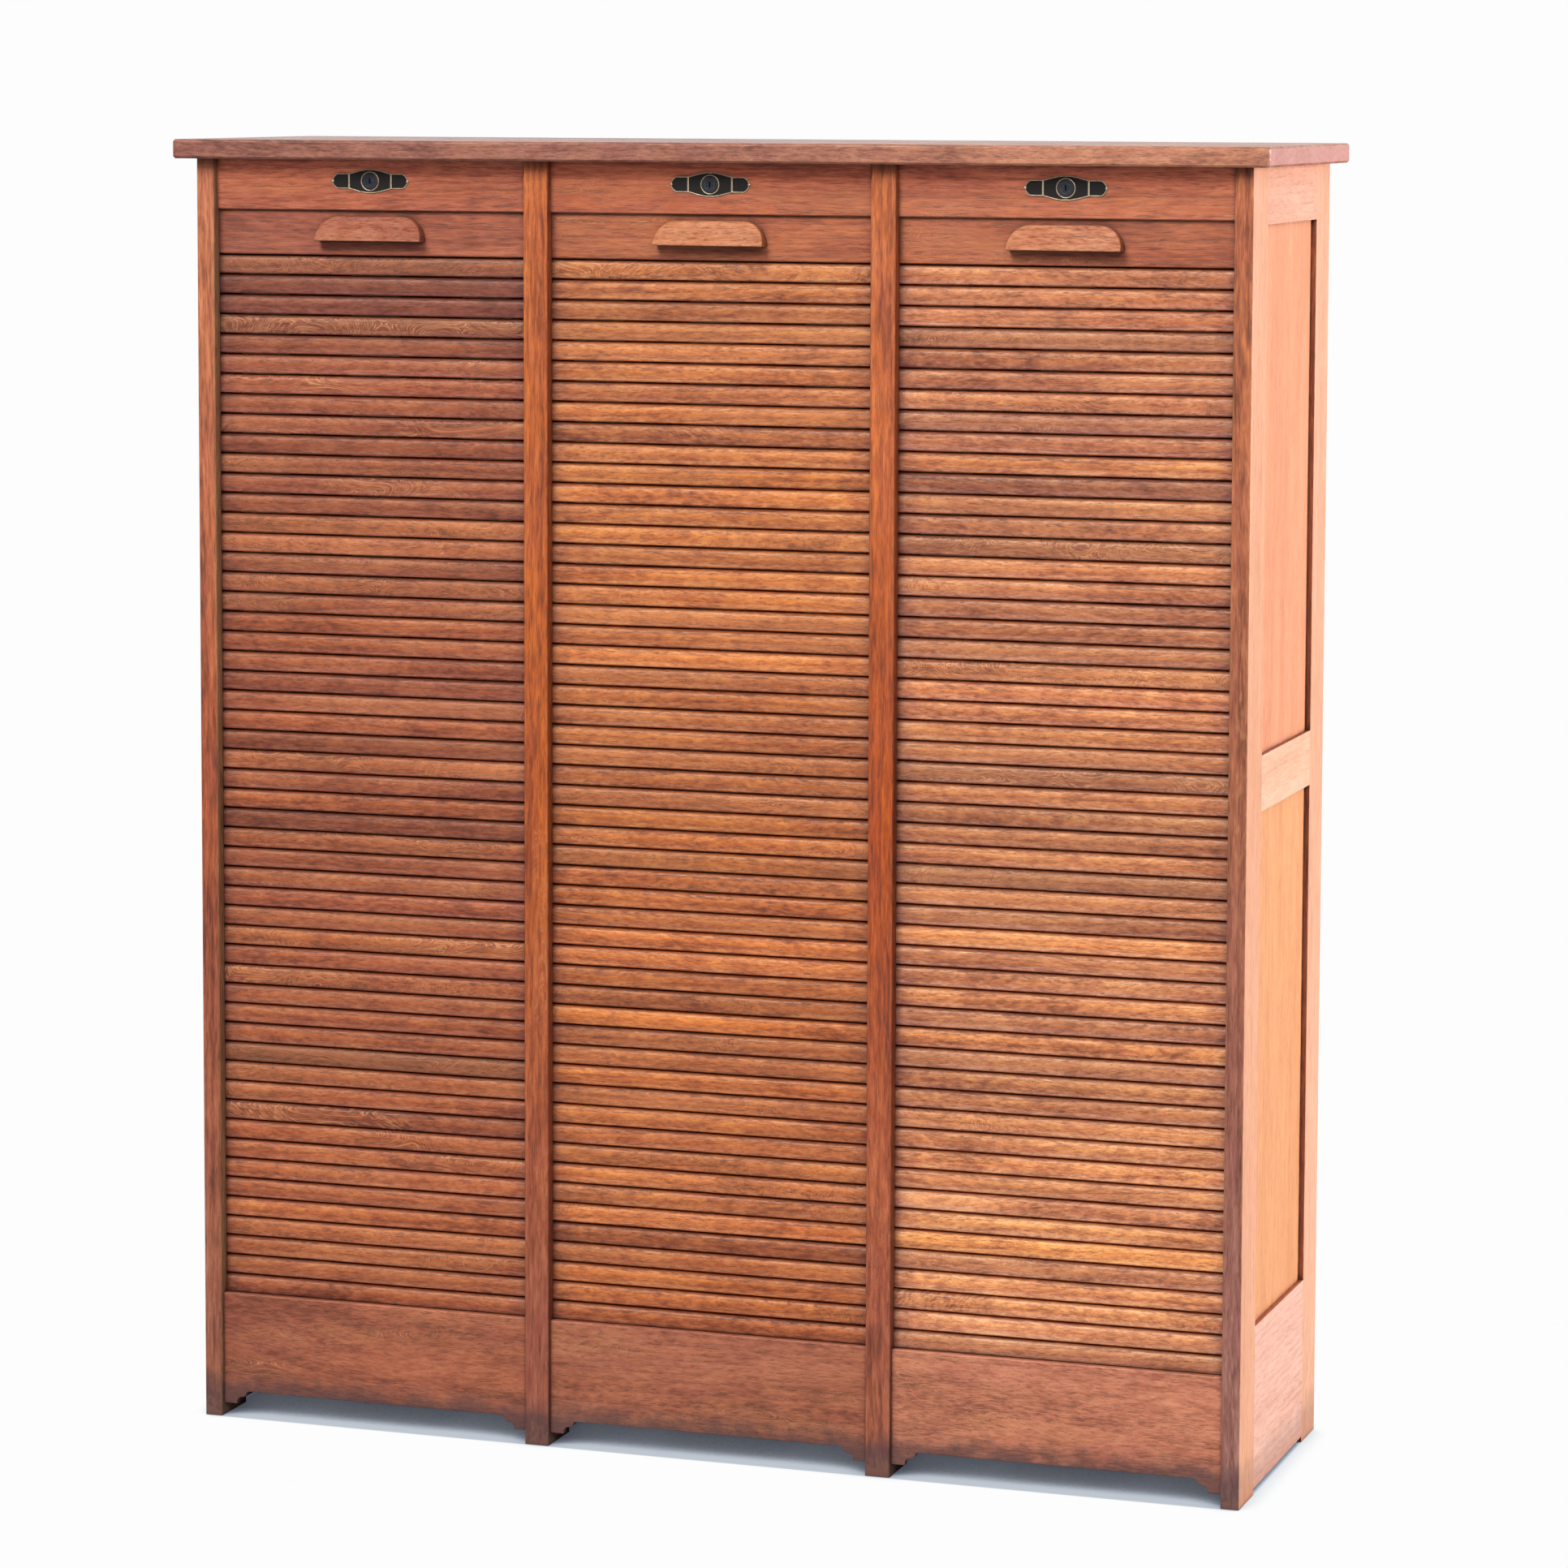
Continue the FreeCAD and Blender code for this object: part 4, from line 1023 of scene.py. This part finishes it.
# %% [markdown]
# ## The canvas
#
# Three strips of linen run down the back of each shutter and hold the slats together. They are
# hidden while the shutter is up. Each strip is one long plane, divided so that it can follow the
# slats, given its thickness and drawn in a little at every joint, where it isn't glued.

# %% Cut the canvas strips
strip_rows = 108
joint_sag = 0.25 * mm
width = 62 * mm
cloth = 0.5 * mm


def model_strip(name, low, high):
    """One strip of canvas between two corners, sunk a little at each joint."""
    start_alone()
    centre = (low + high) / 2
    bpy.ops.mesh.primitive_grid_add(x_subdivisions=3, y_subdivisions=strip_rows, size=1,
                                    location=(centre.x, low.y + hair, centre.z),
                                    rotation=(math.pi / 2, 0, 0))
    strip = bpy.context.object
    strip.scale = (high.x - low.x, high.z - low.z, 1)
    strip.name = strip.data.name = name
    bpy.ops.object.transform_apply()
    for point in strip.data.vertices:
        phase = (high.z - point.co.z) / slat_pitch * 2 * math.pi
        point.co.y += joint_sag * (0.5 + 0.5 * math.cos(phase))
    thick = strip.modifiers.new("thick", "SOLIDIFY")
    thick.thickness, thick.offset = cloth, 1
    settle(strip, thick)
    bpy.ops.object.mode_set(mode="EDIT")
    bpy.ops.mesh.select_all(action="SELECT")
    bpy.ops.mesh.normals_make_consistent(inside=False)
    bpy.ops.object.mode_set(mode="OBJECT")
    return strip


for bay in bays:
    low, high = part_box(f"{bay}_shutter_canvas")
    starts = (low.x, (low.x + high.x - width) / 2, high.x - width)
    for number, start in enumerate(starts, 1):
        strip = model_strip(f"{bay}_canvas_{number}", Vector((start, low.y, low.z)),
                            Vector((start + width, high.y, high.z)))
        strip.data.materials.append(linen)
        finish_piece(strip, f"{bay}_shutter", 60)
        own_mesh(strip)
        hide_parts(f"{bay}_shutter_canvas")
    print(bay, "canvas:", len(starts), "strips of", round(high.z - low.z, 4), "m")

# %% [markdown]
# ## The wooden pulls
#
# Each pull is a wedge of oak: it stands out most at its foot, and its face leans back. The front
# of a block is pushed in at the top for that. Then the upper corners are one wide bevel, the
# softened edge round the face is another, and the finger hollow is cut from below with a second
# block, which keeps the lip even.

# %% Model the pulls
pull_top_depth = 8 * mm
corner_radius = 27 * mm
edge_radius = 1.8 * mm
lip = 9 * mm
end_wall = 16 * mm
hollow_height = 13 * mm
hollow_radius = 5 * mm
past_foot, past_back = 10 * mm, 5 * mm  # how far the cutter stands out of the pull
# Per pull, partly stain and partly painted light: darker on the left, lighter on the right.
pull_light_and_stain = {"left": (0.69, 0.55, 0.58), "centre": (0.97, 0.99, 0.88), "right": (1.02, 1.09, 1.15)}


def model_pull(name, low, high):
    """A leaning rounded grip between two corners, hollow from below."""
    pull = block(name, low, high)
    pick(pull, "VERT", lambda v: v.co.y < low.y + hair and v.co.z > high.z - hair)
    push(0, high.y - pull_top_depth - low.y, 0)
    pick(pull, "EDGE", lambda e: runs_along(e, 1) and middle(e).z > high.z - hair)
    round_off(corner_radius, 14)

    def on_face(vertex):
        share = (vertex.co.z - low.z) / (high.z - low.z)
        return vertex.co.y < low.y + share * (high.y - pull_top_depth - low.y) + hair
    pick(pull, "EDGE", lambda e: all(on_face(v) for v in e.verts))
    round_off(edge_radius, 3, 0.6)
    start_alone()
    hollow_low = Vector((low.x + end_wall, low.y + lip, low.z - past_foot))
    hollow_high = Vector((high.x - end_wall, high.y + past_back, low.z + hollow_height))
    hollow = block(name + "_hollow", hollow_low, hollow_high)
    pick(hollow, "EDGE", lambda e: runs_along(e, 0) and middle(e).z > hollow_high.z - hair
         and middle(e).y < hollow_low.y + hair)
    round_off(hollow_radius, 5)
    bpy.ops.object.mode_set(mode="OBJECT")
    subtract(pull, hollow)
    return pull


for number, bay in enumerate(bays):
    low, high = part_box(f"{bay}_handle")
    pull = model_pull(f"{bay}_pull", low, high)
    pull.data.materials.append(
        oak_finish(f"oak_{bay}_pull", oak_tones["pull"], "X", 61 + 4 * number, 0.35,
                   gloss=0.58, tints=(pull_light_and_stain[bay],) * 3))
    finish_piece(pull, f"{bay}_shutter")
    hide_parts(f"{bay}_handle")
    print(pull.name, "has", len(pull.data.polygons), "faces")

# %% [markdown]
# ## The lock plates
#
# A long brass plate lies behind each lock, with clipped ends, a bulge in its middle, and sunk
# cells with a black ground at its ends and round the lock. The cells are plain. The plate starts
# as a flat block. Cuts across it mark where the outline turns, the middle is pulled up and down,
# the ends are clipped with a bevel, and the cells are inset and pushed in. A boolean makes the
# hole for the lock, a ring sits round it, and two pins hold the plate.

# %% Model the lock plates
cell_rim = 0.95 * mm
cell_depth = 0.5 * mm
end_height = 18 * mm
end_clip = 6 * mm
neck_at, shoulder_at, crest_at = 27 * mm, 13 * mm, 5 * mm
corners_beyond = neck_at + 5 * mm
boss_hole = 9.8 * mm
hole_length = 10 * mm
crest_rise = 1.3 * mm
ring_radius = 10.9 * mm
ring_thickness = 0.70 * mm
pin_radius = 1.7 * mm
pin_at = 48 * mm


def sink(each):
    """Insets the picked faces, each by itself or all as one, and pushes them in."""
    bpy.ops.mesh.inset(thickness=cell_rim, depth=0, use_individual=each)
    bpy.ops.mesh.extrude_region_move(TRANSFORM_OT_translate={"value": (0, cell_depth, 0)})


def model_plate(name, low, high):
    """The plate between two corners, its faces marked for two materials: brass and the black
    ground.
    """
    centre = (low + high) / 2
    flat_low = Vector((low.x, low.y, centre.z - end_height / 2))
    flat_high = Vector((high.x, high.y, centre.z + end_height / 2))
    plate = block(name, flat_low, flat_high)
    for distance in (neck_at, shoulder_at, crest_at):
        for side in (-1, 1):
            cut_across((centre.x + side * distance, 0, 0), (1, 0, 0))
    bulge = (high.z - low.z - end_height) / 2
    for reach, rise in ((shoulder_at, bulge - crest_rise), (crest_at, crest_rise)):
        for side in (-1, 1):
            pick(plate, "VERT", lambda v: abs(v.co.x - centre.x) < reach + hair
                 and side * (v.co.z - centre.z) > 0)
            push(0, 0, side * rise)
    pick(plate, "EDGE", lambda e: runs_along(e, 1)
         and abs(middle(e).x - centre.x) > corners_beyond)
    round_off(end_clip, 2, 0.35)

    def is_cell(face):
        return face.normal.y < -0.9 and abs(face.calc_center_median().x - centre.x) > neck_at
    pick(plate, "FACE", is_cell)
    sink(each=True)

    def round_the_lock(face):
        return face.normal.y < -0.9 and abs(face.calc_center_median().x - centre.x) < neck_at
    pick(plate, "FACE", round_the_lock)
    sink(each=False)
    bpy.ops.object.mode_set(mode="OBJECT")
    for face in plate.data.polygons:
        sunk = face.center.y > low.y + 0.3 * cell_depth and face.normal.y < 0.5
        outer = face.center.y > low.y + cell_depth * 1.1
        face.material_index = int(sunk and not outer)

    start_alone()
    bpy.ops.mesh.primitive_cylinder_add(vertices=48, radius=boss_hole, depth=hole_length,
                                        location=centre, rotation=(math.pi / 2, 0, 0))
    hole = bpy.context.object
    bpy.ops.object.transform_apply()
    subtract(plate, hole)
    return plate


def model_ring_and_pins(plate, low, high):
    """The raised ring round the lock and the round-headed pins of the plate, joined to it."""
    centre = (low + high) / 2
    start_alone()
    bpy.ops.mesh.primitive_torus_add(location=(centre.x, low.y, centre.z),
                                     rotation=(math.pi / 2, 0, 0), major_segments=48,
                                     minor_segments=10, major_radius=ring_radius,
                                     minor_radius=ring_thickness)
    extras = [bpy.context.object]
    for side in (-1, 1):
        bpy.ops.mesh.primitive_uv_sphere_add(
            segments=14, ring_count=8, radius=pin_radius, scale=(1, 0.55, 1),
            location=(centre.x + side * pin_at, low.y + hair, centre.z))
        extras.append(bpy.context.object)
    start_alone()
    for extra in extras:
        extra.data.materials.append(plate.data.materials[0])
        extra.select_set(True)
    bpy.context.view_layer.objects.active = extras[0]
    bpy.ops.object.transform_apply()
    plate.select_set(True)
    bpy.context.view_layer.objects.active = plate
    bpy.ops.object.join()


for bay in bays:
    low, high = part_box(f"{bay}_escutcheon")
    plate = model_plate(f"{bay}_lock_plate", low, high)
    plate.data.materials.append(old_brass)
    plate.data.materials.append(black_ground)
    model_ring_and_pins(plate, low, high)
    finish_piece(plate, "cabinet", 30)
    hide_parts(f"{bay}_escutcheon")
    print(plate.name, "has", len(plate.data.polygons), "faces")
